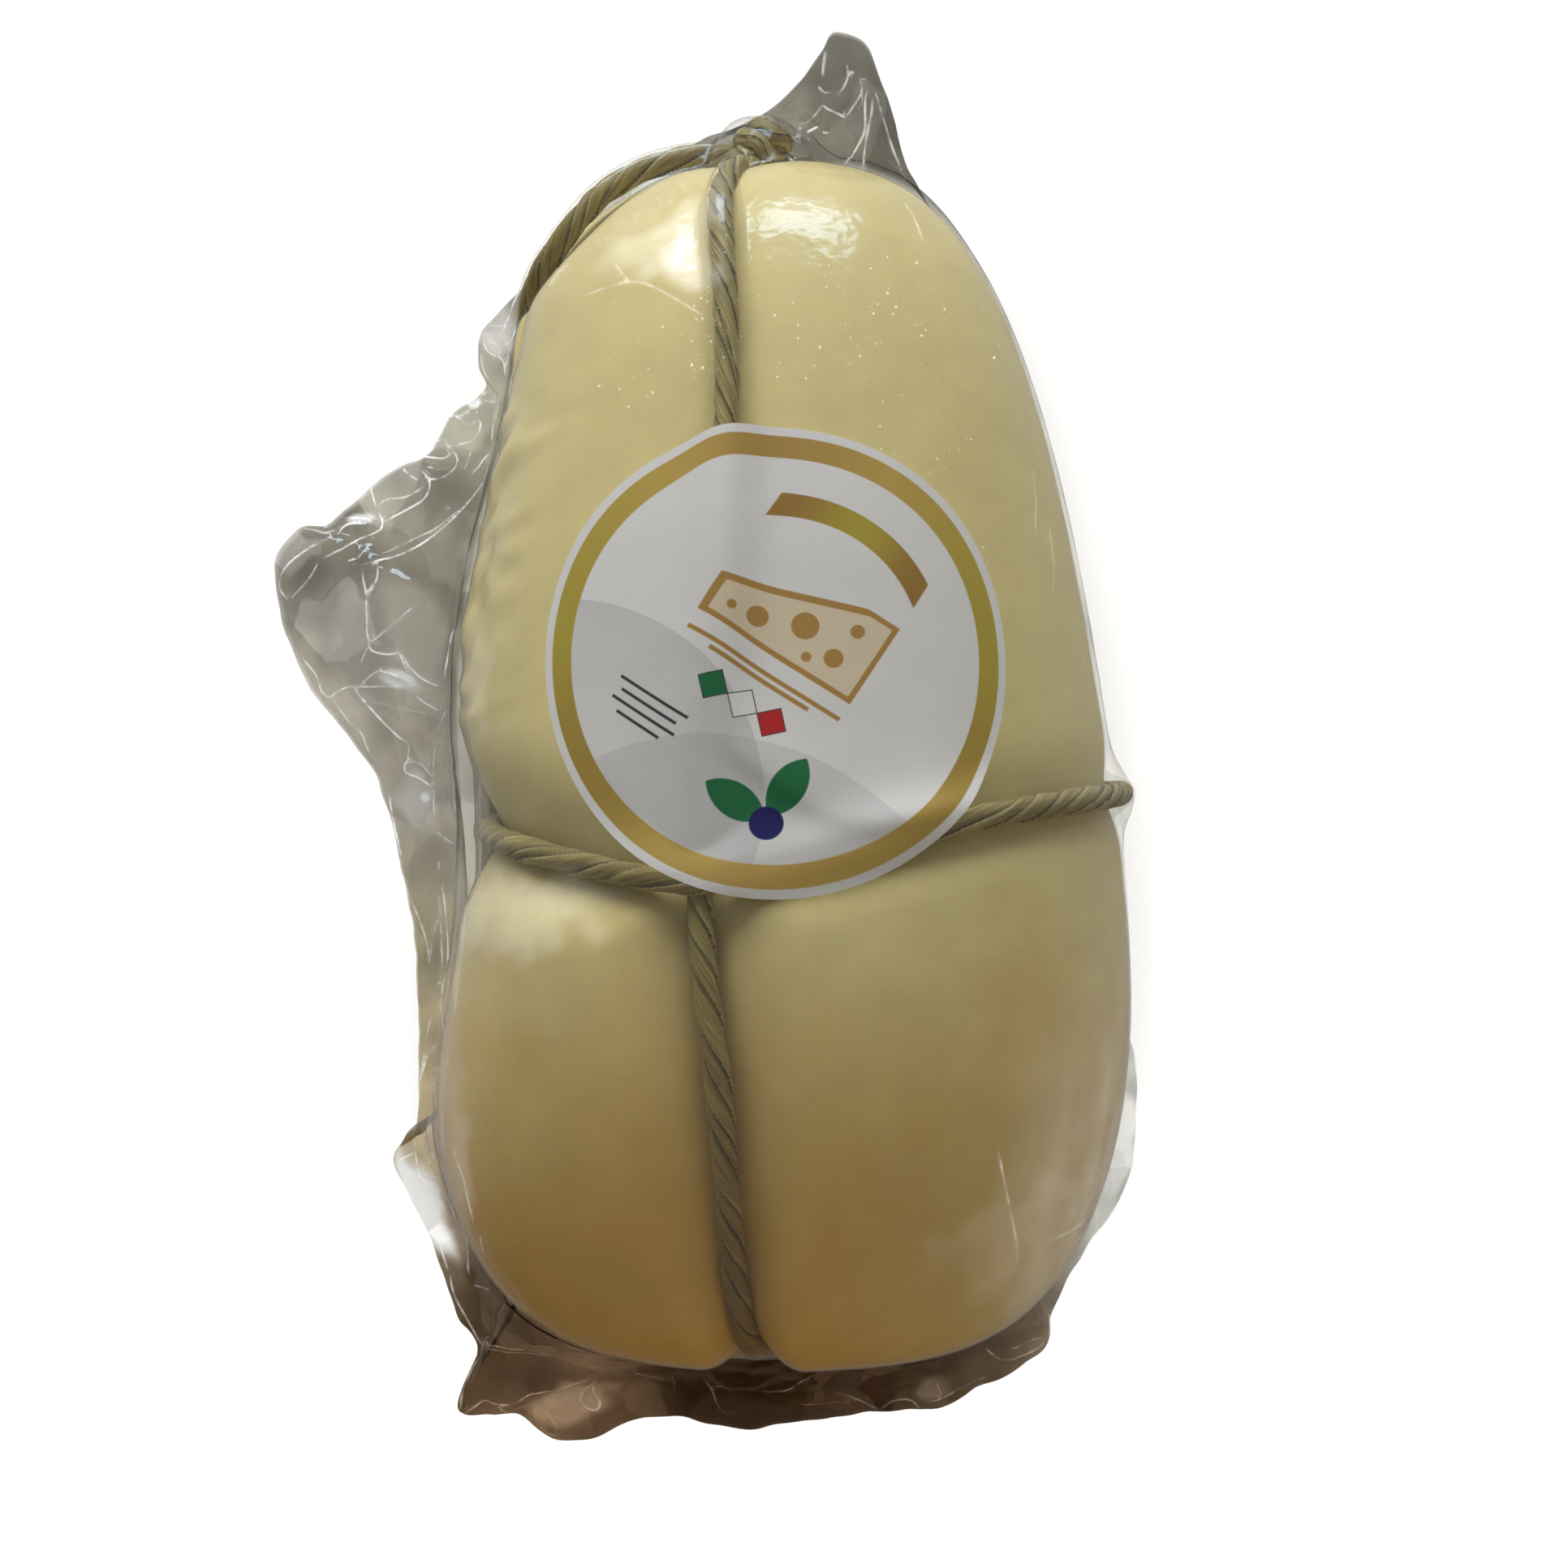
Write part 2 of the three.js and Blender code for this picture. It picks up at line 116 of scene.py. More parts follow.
def endProfile(power, poleY):
    share = np.linspace(0, 1, profileSteps)
    turn = math.pi / 2 * share**3 / (share**3 + (1 - share) ** 3)
    y = poleY * np.abs(np.cos(turn)) ** (2 / power)
    half = bodyWidth(y) * np.sin(turn) ** (2 / power)
    run = np.concatenate(([0], np.cumsum(np.hypot(np.diff(y), np.diff(half)))))
    return y, half, run


narrowY, narrowHalf, narrowRuns = endProfile(cheeseForm["narrowPower"], cheeseForm["narrowLength"])
bluntY, bluntHalf, bluntRuns = endProfile(cheeseForm["bluntPower"], -cheeseForm["bluntLength"])
narrowRun = narrowRuns[-1]
wholeRun = narrowRun + bluntRuns[-1]
runTable = np.concatenate((narrowRuns, wholeRun - bluntRuns[-2::-1]))
yTable = np.concatenate((narrowY, bluntY[-2::-1]))
halfTable = np.concatenate((narrowHalf, bluntHalf[-2::-1]))


# Place along the axis and half-width at a distance from the narrow pole over the surface.
def station(distance):
    return np.interp(distance, runTable, yTable), np.interp(distance, runTable, halfTable)


def axisHeight(y):
    past = y - cheeseForm["levelAxisFrom"]
    rising = cheeseForm["levelAxisFrom"] + (past + np.hypot(past, cheeseForm["axisBend"])) / 2
    half = cheeseForm["middleWidth"] / 2 - cheeseForm["taper"] * rising
    return cheeseForm["depthPerWidth"] * half - cheeseForm["pressedFlat"]


def untiedPoint(angle, distance):
    y, half = station(distance)
    across, up = np.cos(angle), np.sin(angle)
    power = cheeseForm["sectionPower"]
    reach = half * (np.abs(across) ** power + np.abs(up) ** power) ** (-1 / power)
    side = np.where(across < 0, mix(1, leftShare(y), across**2), 1)
    z = axisHeight(y) + cheeseForm["depthPerWidth"] * reach * up
    return np.stack(np.broadcast_arrays(reach * across * side, y, np.maximum(z, 0)), -1)


def unit(vectors):
    return vectors / np.maximum(np.linalg.norm(vectors, axis=-1, keepdims=True), 1e-9)


# Steps for the slope of the surface: how near a pole, in angle, and along it in millimetres.
slopeStep = {"pole": 1.5, "angle": 0.01, "along": 1}


def outwardAt(angle, distance):
    inside = np.clip(distance, slopeStep["pole"], wholeRun - slopeStep["pole"])
    side, ahead = slopeStep["angle"], slopeStep["along"]
    around = untiedPoint(angle + side, inside) - untiedPoint(angle - side, inside)
    along = untiedPoint(angle, inside + ahead) - untiedPoint(angle, inside - ahead)
    return unit(np.cross(around, along))


def angleBetween(start, end):
    return np.arctan2(np.sin(end - start), np.cos(end - start))


def runDip(y, middle, narrowFrom):
    dip = mix(middle, twineForm["narrowDip"], smoothStep(y, narrowFrom, twineForm["dipEnds"]))
    return mix(dip, twineForm["bluntDip"], smoothStep(-y, twineForm["bluntFrom"], twineForm["dipEnds"]))


def frontAngle(y):
    lean, girth = twineForm["frontLean"], twineForm["girth"]
    share = (y + cheeseForm["bluntLength"]) / (cheeseForm["narrowLength"] + cheeseForm["bluntLength"])
    pull = lean["pull"] * np.exp(-(((y - girth["y"] + girth["pull"]) / lean["pullLength"]) ** 2))
    shoulder = twineForm["frontShoulder"]
    past = np.maximum(0, y - shoulder["from"]) / (cheeseForm["narrowLength"] - shoulder["from"])
    turned = 90 + mix(lean["blunt"], lean["narrow"], share) + pull
    return np.radians(turned + shoulder["lean"] * past ** shoulder["power"])


def frontShare(y):
    return smoothStep(-y, -twineForm["frontDip"]["from"], -twineForm["frontDip"]["to"])


def frontDip(y):
    dip = twineForm["frontDip"]
    return runDip(y, mix(dip["narrow"], dip["blunt"], frontShare(y)), twineForm["narrowFrom"])


def frontReach(y):
    reach = twineForm["frontReach"]
    middle = mix(reach["narrow"], reach["blunt"], frontShare(y))
    return mix(middle, reach["end"], smoothStep(-y, reach["endFrom"], reach["endTo"]))


# The side runs swing to another angle over the narrow shoulder.
def swingAngle(run):
    return lambda y: np.radians(mix(run["angle"], run["shoulder"], smoothStep(y, run["from"], run["to"])))


# The same value all along the axis.
def steady(value):
    return lambda y: value + 0 * y


def steadyDip(middle, narrowFrom):
    return lambda y: runDip(y, middle, narrowFrom)


# How far a run stands off its seat towards the narrow end.
def standOff(change):
    return lambda y: change["lift"] * smoothStep(y, change["from"], change["to"])


sideDip = steadyDip(twineForm["sideDip"], twineForm["narrowFrom"])
backDip = steadyDip(twineForm["backDip"], twineForm["backDipUntil"])
plainReach = steady(twineForm["grooveReach"])


# Along the axis, each run has an angle, a groove depth, a groove reach and how far it stands off.
def stringRun(angle, dip, reach, off):
    return {"angle": angle, "dip": dip, "reach": reach, "off": off}


frontRun = stringRun(frontAngle, frontDip, frontReach, standOff(twineForm["frontTuck"]))
leftRun = stringRun(swingAngle(twineForm["leftRun"]), sideDip, plainReach, standOff(twineForm["leftBridge"]))
backRun = stringRun(steady(np.radians(twineForm["backAngle"])), backDip, plainReach, steady(0))
rightRun = stringRun(swingAngle(twineForm["rightRun"]), sideDip, plainReach, steady(0))
allRuns = [frontRun, leftRun, backRun, rightRun]


def girthDistance(angle):
    girth = twineForm["girth"]
    fromFront = angleBetween(frontAngle(girth["y"] - girth["pull"]), angle) / math.radians(girth["spread"])
    y = girth["y"] + girth["slant"] * np.cos(angle)
    y = y - girth["pull"] * np.exp(-np.abs(fromFront) ** girth["power"])
    return narrowRun - y * math.hypot(1, cheeseForm["taper"])


def girthDip(angle):
    dip = twineForm["girthDip"]
    return dip["middle"] - dip["leftward"] * np.cos(angle) + dip["under"] * np.maximum(0, -np.sin(angle))


def girthReach(angle):
    return twineForm["girthReach"]["middle"] - twineForm["girthReach"]["leftward"] * np.cos(angle)


def dent(depth, reach, off):
    powers = twineForm["dent"]
    return depth * np.maximum(0, 1 - np.abs(off / reach) ** powers["edge"]) ** powers["bottom"]


def runOff(run, angle, distance):
    y, half = station(distance)
    return half * angleBetween(run["angle"](y), angle)


def grooveDepth(angle, distance):
    y = station(distance)[0]
    reach, join = twineForm["girthReach"], twineForm["join"]
    below = distance - girthDistance(angle)
    wide = girthReach(angle) * mix(reach["above"], reach["below"], below > 0)
    total = dent(girthDip(angle), wide, below) ** join
    for run in allRuns:
        total = total + dent(run["dip"](y), run["reach"](y), runOff(run, angle, distance)) ** join
    return total ** (1 / join)


def tiedPoint(angle, distance, lift=0, share=1):
    move = lift - share * grooveDepth(angle, distance)
    return untiedPoint(angle, distance) + outwardAt(angle, distance) * np.asarray(move)[..., None]


# Radius of the untied cheese at a height, in a direction seen from above.
def sideRadius(turn, z):
    low = np.zeros(np.broadcast(turn, z).shape)
    high = low + 2 * cheeseForm["narrowLength"]
    power = cheeseForm["sectionPower"]
    for step in range(30):  # halvings
        middle = (low + high) / 2
        y = middle * np.sin(turn)
        endPower = np.where(y > 0, cheeseForm["narrowPower"], cheeseForm["bluntPower"])
        length = np.where(y > 0, cheeseForm["narrowLength"], cheeseForm["bluntLength"])
        along = np.clip(np.abs(y) / length, 0, 1)
        half = np.maximum(bodyWidth(y) * (1 - along**endPower) ** (1 / endPower), 1e-6)
        up = np.abs(z - axisHeight(y)) / (cheeseForm["depthPerWidth"] * half)
        outer = np.clip(1 - up**2, 0, 1)
        side = np.where(np.cos(turn) < 0, mix(1, leftShare(y), outer), 1)
        across = np.abs(middle * np.cos(turn)) / (half * side)
        inside = across**power + up**power < 1
        low = np.where(inside, middle, low)
        high = np.where(inside, high, middle)
    return low


noiseShift = (17.3, 9.1, 5.7)  # from one seed to the next


def noiseAt(points, scale, seed=0):
    shift = Vector([seed * along for along in noiseShift])
    flat = np.asarray(points, float).reshape(-1, 3) / scale
    values = [noise.noise(Vector(p) + shift) for p in flat]
    return np.array(values).reshape(np.shape(points)[:-1])


def ridgesAt(points, scale, seed=0):
    return 1 - np.abs(noiseAt(points, scale, seed)) * 2


# Quads of a grid that closes round its columns, and as a ring round its rows too.
def gridFaces(rows, columns, ring=False):
    row = np.arange(rows if ring else rows - 1)[:, None]
    here = np.arange(columns)[None, :]
    after = (here + 1) % columns
    first, second = row * columns, (row + 1) % rows * columns
    return np.stack((first + here, first + after, second + after, second + here), -1).reshape(-1, 4)


# Makes one piece from points in millimetres about the cheese's middle.
def makePiece(name, points, faceGroups, material, uv=None, values=None):
    mesh = bpy.data.meshes.new(name)
    points = (np.asarray(points, float).reshape(-1, 3) + np.array(cheeseForm["middle"])) * mm
    corners = np.concatenate([np.asarray(group).ravel() for group in faceGroups])
    sizes = np.concatenate([np.full(len(group), np.shape(group)[1]) for group in faceGroups])
    mesh.vertices.add(len(points))
    mesh.vertices.foreach_set("co", points.ravel())
    mesh.loops.add(len(corners))
    mesh.loops.foreach_set("vertex_index", corners.astype(np.int32))
    mesh.polygons.add(len(sizes))
    mesh.polygons.foreach_set("loop_start", (np.cumsum(sizes) - sizes).astype(np.int32))
    mesh.polygons.foreach_set("use_smooth", np.ones(len(sizes), bool))
    mesh.update(calc_edges=True)
    if uv is not None:
        layer = mesh.uv_layers.new(name="print")
        layer.data.foreach_set("uv", np.asarray(uv, float).ravel())
    for key, value in (values or {}).items():
        flat = np.asarray(value, np.float32).reshape(len(points), -1)
        kind, field = ("FLOAT_COLOR", "color") if flat.shape[1] == 4 else ("FLOAT", "value")
        mesh.attributes.new(key, kind, "POINT").data.foreach_set(field, flat.ravel())
    mesh.validate()
    mesh.materials.append(material)
    piece = bpy.data.objects.new(name, mesh)
    bpy.context.scene.collection.objects.link(piece)
    print("made", name, "with", len(points), "points")
    return piece


def newTree(name):
    material = bpy.data.materials.new(name)
    material.use_nodes = True
    material.node_tree.nodes.clear()
    return material, material.node_tree


def addNode(tree, kind, inputs=None, **settings):
    made = tree.nodes.new(kind)
    for key, value in settings.items():
        setattr(made, key, value)
    for key, value in (inputs or {}).items():
        socket = made.inputs[key]
        if isinstance(value, bpy.types.NodeSocket):
            tree.links.new(value, socket)
        else:
            socket.default_value = value
    return made


def maths(tree, operation, a, b=0.0, c=0.5, clamp=False):
    inputs = {0: a, 1: b, 2: c}
    return addNode(tree, "ShaderNodeMath", inputs, operation=operation, use_clamp=clamp).outputs[0]


def ranged(tree, value, low, high, start=0.0, end=1.0):
    inputs = {"Value": value, "From Min": low, "From Max": high, "To Min": start, "To Max": end}
    return addNode(tree, "ShaderNodeMapRange", inputs).outputs[0]


def blendColour(tree, share, a, b, kind="MIX"):
    inputs = {0: share, 6: a, 7: b}  # the colour sockets of the node
    return addNode(tree, "ShaderNodeMix", inputs, data_type="RGBA", blend_type=kind).outputs[2]


def noiseNode(tree, vector, scale, detail=2.0, roughness=0.5):
    inputs = {"Vector": vector, "Scale": scale, "Detail": detail, "Roughness": roughness}
    return addNode(tree, "ShaderNodeTexNoise", inputs).outputs[0]


def attributeNode(tree, name):
    return addNode(tree, "ShaderNodeAttribute", attribute_name=name).outputs["Fac"]


def objectPlace(tree):
    return addNode(tree, "ShaderNodeTexCoord").outputs["Object"]


def axesOf(tree, vector):
    return addNode(tree, "ShaderNodeSeparateXYZ", {0: vector}).outputs


def stretched(tree, vector, scale):
    return addNode(tree, "ShaderNodeMapping", {"Vector": vector, "Scale": scale}).outputs[0]


def bumpNode(tree, height, strength, distance):
    inputs = {"Height": height, "Strength": strength, "Distance": distance}
    return addNode(tree, "ShaderNodeBump", inputs).outputs[0]


def blendShaders(tree, share, a, b):
    return addNode(tree, "ShaderNodeMixShader", {0: share, 1: a.outputs[0], 2: b.outputs[0]})


def endTree(tree, shader):
    addNode(tree, "ShaderNodeOutputMaterial", {0: shader.outputs[0]})


# Cheese

cheeseLook = {
    "rows": 300,
    "columns": 300,
    "pale": (0.80, 0.70, 0.347, 1),
    # golden towards the blunt end: partly the cheese's own tone, partly painted shade
    "golden": (0.82, 0.512, 0.125, 1),
    "paleFrom": -0.108,  # along the pack, in metres
    "paleTo": -0.033,
    "paleWander": 0.09,
    "paleSides": [(0.022, 0.062, 0.7), (-0.044, -0.064, 0.6)],  # across the pack: from, to and how pale
    "mottle": (0.95, 1.05),
    "pressed": (0.44, 0.36, 0.16, 1),  # painted shade in the grooves
    "pressedShare": 0.3,
    "pressedDepth": 8,
    "speck": (0.10, 0.07, 0.03, 1),
    "speckScale": 26.0,
    "speckEdge": (0.006, 0.011),
    "roughness": (0.36, 0.50),
    "body": {
        "Subsurface Weight": 0.25,
        "Subsurface Radius": (1.0, 0.7, 0.35),
        "Subsurface Scale": 0.006,
        "Specular IOR Level": 0.12,
    },
}

# Marks of fingers along the left edge, and a lip where the curd was folded shut.
fingerMarks = {
    "from": 4,
    "to": 84,
    "fade": 14,
    "spacing": 10.4,
    "height": 1.0,
    "lumps": 0.8,
    "angle": 157,
    "spread": 14,
    "outerSpread": 1.4,  # times the spread
    "slant": 0.25,
    "slantFrom": -6,
    "wander": 4.2,
}
foldLip = {
    "from": 82,
    "to": 104,
    "fadeIn": 10,
    "fadeOut": 4,
    "angle": 169,
    "slant": 0.12,
    "depth": 2.2,
    "width": 1.5,
    "lip": 1.2,
    "lipOff": 4.5,
    "lipWidth": 3,
}


def cheeseRelief(angle, distance, points):
    y, half = station(distance)
    marks, lip = fingerMarks, foldLip
    inward = half * (math.radians(marks["angle"]) - angle)
    size = np.clip(noiseAt(points, 13, 3) * 1.6 + 0.6, 0, 1.4)
    phase = (y - marks["slant"] * np.maximum(inward, marks["slantFrom"])) / marks["spacing"] * 2 * math.pi
    phase = phase + marks["wander"] * noiseAt(points, 21, 4)
    window = smoothStep(y, marks["from"], marks["from"] + marks["fade"])
    window = window * (1 - smoothStep(y, marks["to"] - marks["fade"], marks["to"]))
    spread = marks["spread"] * np.where(inward > 0, 1, marks["outerSpread"])
    window = window * np.exp(-((inward / spread) ** 2))
    relief = marks["height"] * window * size * (0.5 + 0.5 * np.cos(phase))
    relief = relief + marks["lumps"] * window * noiseAt(points, 9, 9)
    offLip = half * (math.radians(lip["angle"]) - angle) + lip["slant"] * (y - lip["from"])
    lipWindow = smoothStep(y, lip["from"], lip["from"] + lip["fadeIn"])
    lipWindow = lipWindow * (1 - smoothStep(y, lip["to"] - lip["fadeOut"], lip["to"]))
    relief = relief - lip["depth"] * lipWindow * np.exp(-((offLip / lip["width"]) ** 2))
    relief = relief + lip["lip"] * lipWindow * np.exp(-(((offLip + lip["lipOff"]) / lip["lipWidth"]) ** 2))
    # slight unevenness all over
    return relief + 0.55 * noiseAt(points, 46, 1) + 0.14 * noiseAt(points, 13, 2)


# Steps from low to high that crowd round some places.
def crowded(low, high, count, places, width, strength):
    at = np.linspace(low, high, 6000)
    weight = 1 + sum(strength * np.exp(-(((at - place) / width) ** 2)) for place in places)
    run = np.cumsum(weight) - weight[0]
    return np.interp(np.linspace(0, run[-1], count), run, at)


# Where the grid's steps are closer: off the girth's middle, and round the front run in degrees.
crowds = {"girth": -4, "girthWidth": 12, "girthMore": 1.2, "front": 100, "frontWidth": 0.2, "frontMore": 1.6}
poleGap = 0.8


def surfaceGrid(rows, columns):
    girth = narrowRun - (twineForm["girth"]["y"] + crowds["girth"]) * math.hypot(1, cheeseForm["taper"])
    front = math.radians(crowds["front"])
    distance = crowded(poleGap, wholeRun - poleGap, rows, [girth], crowds["girthWidth"], crowds["girthMore"])
    angle = crowded(0, 2 * math.pi, columns + 1, [front], crowds["frontWidth"], crowds["frontMore"])
    return np.broadcast_arrays(angle[None, :-1], distance[:, None])


# Closes a grid that runs round the cheese with a point at each pole.
def closedGrid(points):
    rows, columns = points.shape[:2]
    flat = points.reshape(-1, 3)
    poles = np.stack((points[0].mean(0), points[-1].mean(0)))
    start = len(flat)
    here = np.arange(columns)
    after = (here + 1) % columns
    last = (rows - 1) * columns
    narrowFan = np.stack((np.full(columns, start), after, here), -1)
    bluntFan = np.stack((np.full(columns, start + 1), last + here, last + after), -1)
    fans = np.concatenate((narrowFan, bluntFan))
    return np.concatenate((flat, poles)), [gridFaces(rows, columns), fans]


def curdMaterial():
    material, tree = newTree("curd")
    look = cheeseLook
    place = objectPlace(tree)
    axes = axesOf(tree, place)
    patches = noiseNode(tree, place, 22, 4, 0.55)
    # pale towards the narrow end, golden towards the blunt end: partly the cheese's own tone, partly painted
    # shade
    wander = maths(tree, "MULTIPLY_ADD", maths(tree, "SUBTRACT", patches, 0.5), look["paleWander"], axes["Y"])
    paleness = ranged(tree, wander, look["paleFrom"], look["paleTo"])
    # the golden end, and with it its painted shade, is paler towards both sides
    for near, far, most in look["paleSides"]:
        paleness = maths(tree, "MAXIMUM", paleness, ranged(tree, axes["X"], near, far, 0.0, most))
    colour = blendColour(tree, paleness, look["golden"], look["pale"])
    mottle = ranged(tree, noiseNode(tree, place, 90, 5, 0.6), 0.3, 0.7, *look["mottle"])
    colour = blendColour(tree, 1.0, colour, mottle, "MULTIPLY")
    # painted shade in the grooves, deeper where they are deeper
    pressed = maths(tree, "MULTIPLY", attributeNode(tree, "pressed"), look["pressedShare"], clamp=True)
    colour = blendColour(tree, pressed, colour, look["pressed"])
    cells = {"Vector": place, "Scale": look["speckScale"], "Randomness": 1.0}
    specks = addNode(tree, "ShaderNodeTexVoronoi", cells).outputs[0]
    speck = ranged(tree, specks, *look["speckEdge"], 0.75, 0.0)
    colour = blendColour(tree, speck, colour, look["speck"])
    bump = bumpNode(tree, noiseNode(tree, place, 420, 3, 0.6), 0.25, 0.0002)
    rough = ranged(tree, patches, 0.3, 0.7, *look["roughness"])
    inputs = {"Base Color": colour, "Normal": bump, "Roughness": rough, **look["body"]}
    endTree(tree, addNode(tree, "ShaderNodeBsdfPrincipled", inputs))
    return material


def makeCheese():
    angle, distance = surfaceGrid(cheeseLook["rows"], cheeseLook["columns"])
    bare = untiedPoint(angle, distance)
    flat = np.clip(bare[..., 2] / 6, 0, 1)  # no relief where it lies on the table
    relief = cheeseRelief(angle, distance, bare) * flat
    depth = grooveDepth(angle, distance)
    points = bare + outwardAt(angle, distance) * (relief - depth)[..., None]
    points[..., 2] = np.maximum(points[..., 2], 0)
    # how much painted shade each point gets, by the depth of its groove
    pressed = np.concatenate(((depth / cheeseLook["pressedDepth"]).ravel(), [0.2, 0.4]))
    allPoints, faces = closedGrid(points)
    piece = makePiece("cheese_body", allPoints, faces, curdMaterial(), values={"pressed": pressed})
    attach(piece, "root")
    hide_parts("cheese")


# Twine

twineLook = {
    "sides": 44,
    "step": 1.0,
    "pitch": 31,  # one full twist
    "leaves": (0.0, 0.27, 0.47, 0.76, 1.0),  # where each wrapped leaf starts, as a share of the turn
    "radius": 2.32,
    "overlap": 0.62,  # how far a leaf's edge stands over the next
    "bulge": 0.2,
    "straw": (0.18, 0.135, 0.036, 1),
    "light": (0.50, 0.42, 0.135, 1),
    # painted highlight on each leaf's raised edge
    "edgeHighlight": (0.70, 0.62, 0.32, 1),
    "bluntTone": (0.80, 0.62, 0.36, 1),  # darker and warmer towards the blunt end
    # painted shade where one leaf lies over the next
    "overlapShade": (0.05, 0.037, 0.011, 1),
    "bluntToneAt": (-0.11, -0.04),  # along the pack, in metres
    "leafWander": {"length": 22, "amount": 0.16},
    "swell": 0.08,
    "fibres": 0.09,
    "folds": 0.16,
    "fibreScale": (0.6, 7.0, 1.0),
    "toneScale": (0.5, 0.9, 1.0),
    "lowest": 0.2,
}

# The knot at the narrow end: the string wrapped round the crossing.
knotForm = {
    "middle": (-3.2, 134.0),
    "up": 4,
    "axis": 42,
    "radius": 3.9,
    "tightest": 0.35,
    "turns": 2.6,
    "spacing": 3.7,
    "tuck": 0.15,
    "returnPoints": 12,
}
crossing = {"lift": 2.6, "length": 8}  # the girth run rides over the front run


def evenly(points, step, closed=True):
    ring = np.concatenate((points, points[:1])) if closed else points
    lengths = np.concatenate(([0], np.cumsum(np.linalg.norm(np.diff(ring, axis=0), axis=1))))
    count = max(int(round(lengths[-1] / step)), 8)
    at = np.linspace(0, lengths[-1], count, endpoint=not closed)
    return np.stack([np.interp(at, lengths, ring[:, k]) for k in range(ring.shape[1])], -1), lengths[-1]


def softened(points, times):
    for step in range(times):
        points = (np.roll(points, 1, 0) + 2 * points + np.roll(points, -1, 0)) / 4
    return points


def runLine(run, distance):
    y = station(distance)[0]
    seat = twineForm["diameter"] / 2 + twineForm["seatGap"]
    angle = run["angle"](y)
    outward = outwardAt(angle, distance)
    return untiedPoint(angle, distance) + outward * (seat - run["dip"](y) + run["off"](y))[:, None], outward


def lengthwiseLoop(thereRun, returnRun):
    distance = np.linspace(0, wholeRun, 400)
    there, thereOut = runLine(thereRun, distance)
    back, backOut = runLine(returnRun, distance[::-1])
    return np.concatenate((there, back[1:-1])), np.concatenate((thereOut, backOut[1:-1]))


def crossingLift(angle):
    girth = twineForm["girth"]
    y = girth["y"] - girth["pull"]
    off = bodyWidth(y) * angleBetween(frontAngle(y), angle)
    return crossing["lift"] * np.exp(-((off / crossing["length"]) ** 2))


def girthLoop():
    angle = np.linspace(-math.pi / 2, 1.5 * math.pi, 500, endpoint=False)
    distance = girthDistance(angle)
    seat = twineForm["diameter"] / 2 + twineForm["seatGap"]
    return tiedPoint(angle, distance, seat + crossingLift(angle)), outwardAt(angle, distance)


def knotMiddle():
    x, y = knotForm["middle"]
    return np.array([x, y, float(axisHeight(cheeseForm["narrowLength"])) + knotForm["up"]])


# Wraps round a slanting axis, whose ends are tucked back through the middle.
def knotLoop():
    share = np.linspace(0, 1, 200)
    turn = 2 * math.pi * knotForm["turns"] * share
    slant = math.radians(knotForm["axis"])
    axis = np.array([math.cos(slant), math.sin(slant), 0])
    aside = np.array([-math.sin(slant), math.cos(slant), 0])
    up = np.array([0.0, 0.0, 1.0])
    along = (share - 0.5) * knotForm["turns"] * knotForm["spacing"]
    ends = np.minimum(share, 1 - share) / knotForm["tuck"] + knotForm["tightest"]
    tight = knotForm["radius"] * np.minimum(1, ends)
    outward = np.cos(turn)[:, None] * aside + np.sin(turn)[:, None] * up
    points = knotMiddle() + along[:, None] * axis + tight[:, None] * outward
    count = knotForm["returnPoints"]
    back = mix(points[-1], points[0], np.linspace(0.15, 0.85, count)[:, None])
    return np.concatenate((points, back)), np.concatenate((outward, outward[:count]))


# Counts the leaves round the string, which vary in width along it, and the share across each.
def leavesAt(strand, along, length, seed):
    starts = np.array(twineLook["leaves"])
    wander = twineLook["leafWander"]
    turn, reach = 2 * math.pi * along, length / 2 / math.pi / wander["length"]
    circle = (reach * np.cos(turn), reach * np.sin(turn), 5.0 * np.arange(len(starts))[None, :] + seed)
    moved = noiseAt(np.stack(np.broadcast_arrays(*circle), -1), 1.0, 12)
    starts = starts[None, :] + wander["amount"] * moved * ((starts > 0) & (starts < 1))
    leaf = np.sum(strand[..., None] % 1 >= starts[:, None, 1:-1], -1)
    begin, end = np.take_along_axis(starts, leaf, 1), np.take_along_axis(starts, leaf + 1, 1)
    share = (strand % 1 - begin) / (end - begin)
    return (len(twineLook["leaves"]) - 1) * np.floor(strand) + leaf + np.clip(share, 0, 0.999)


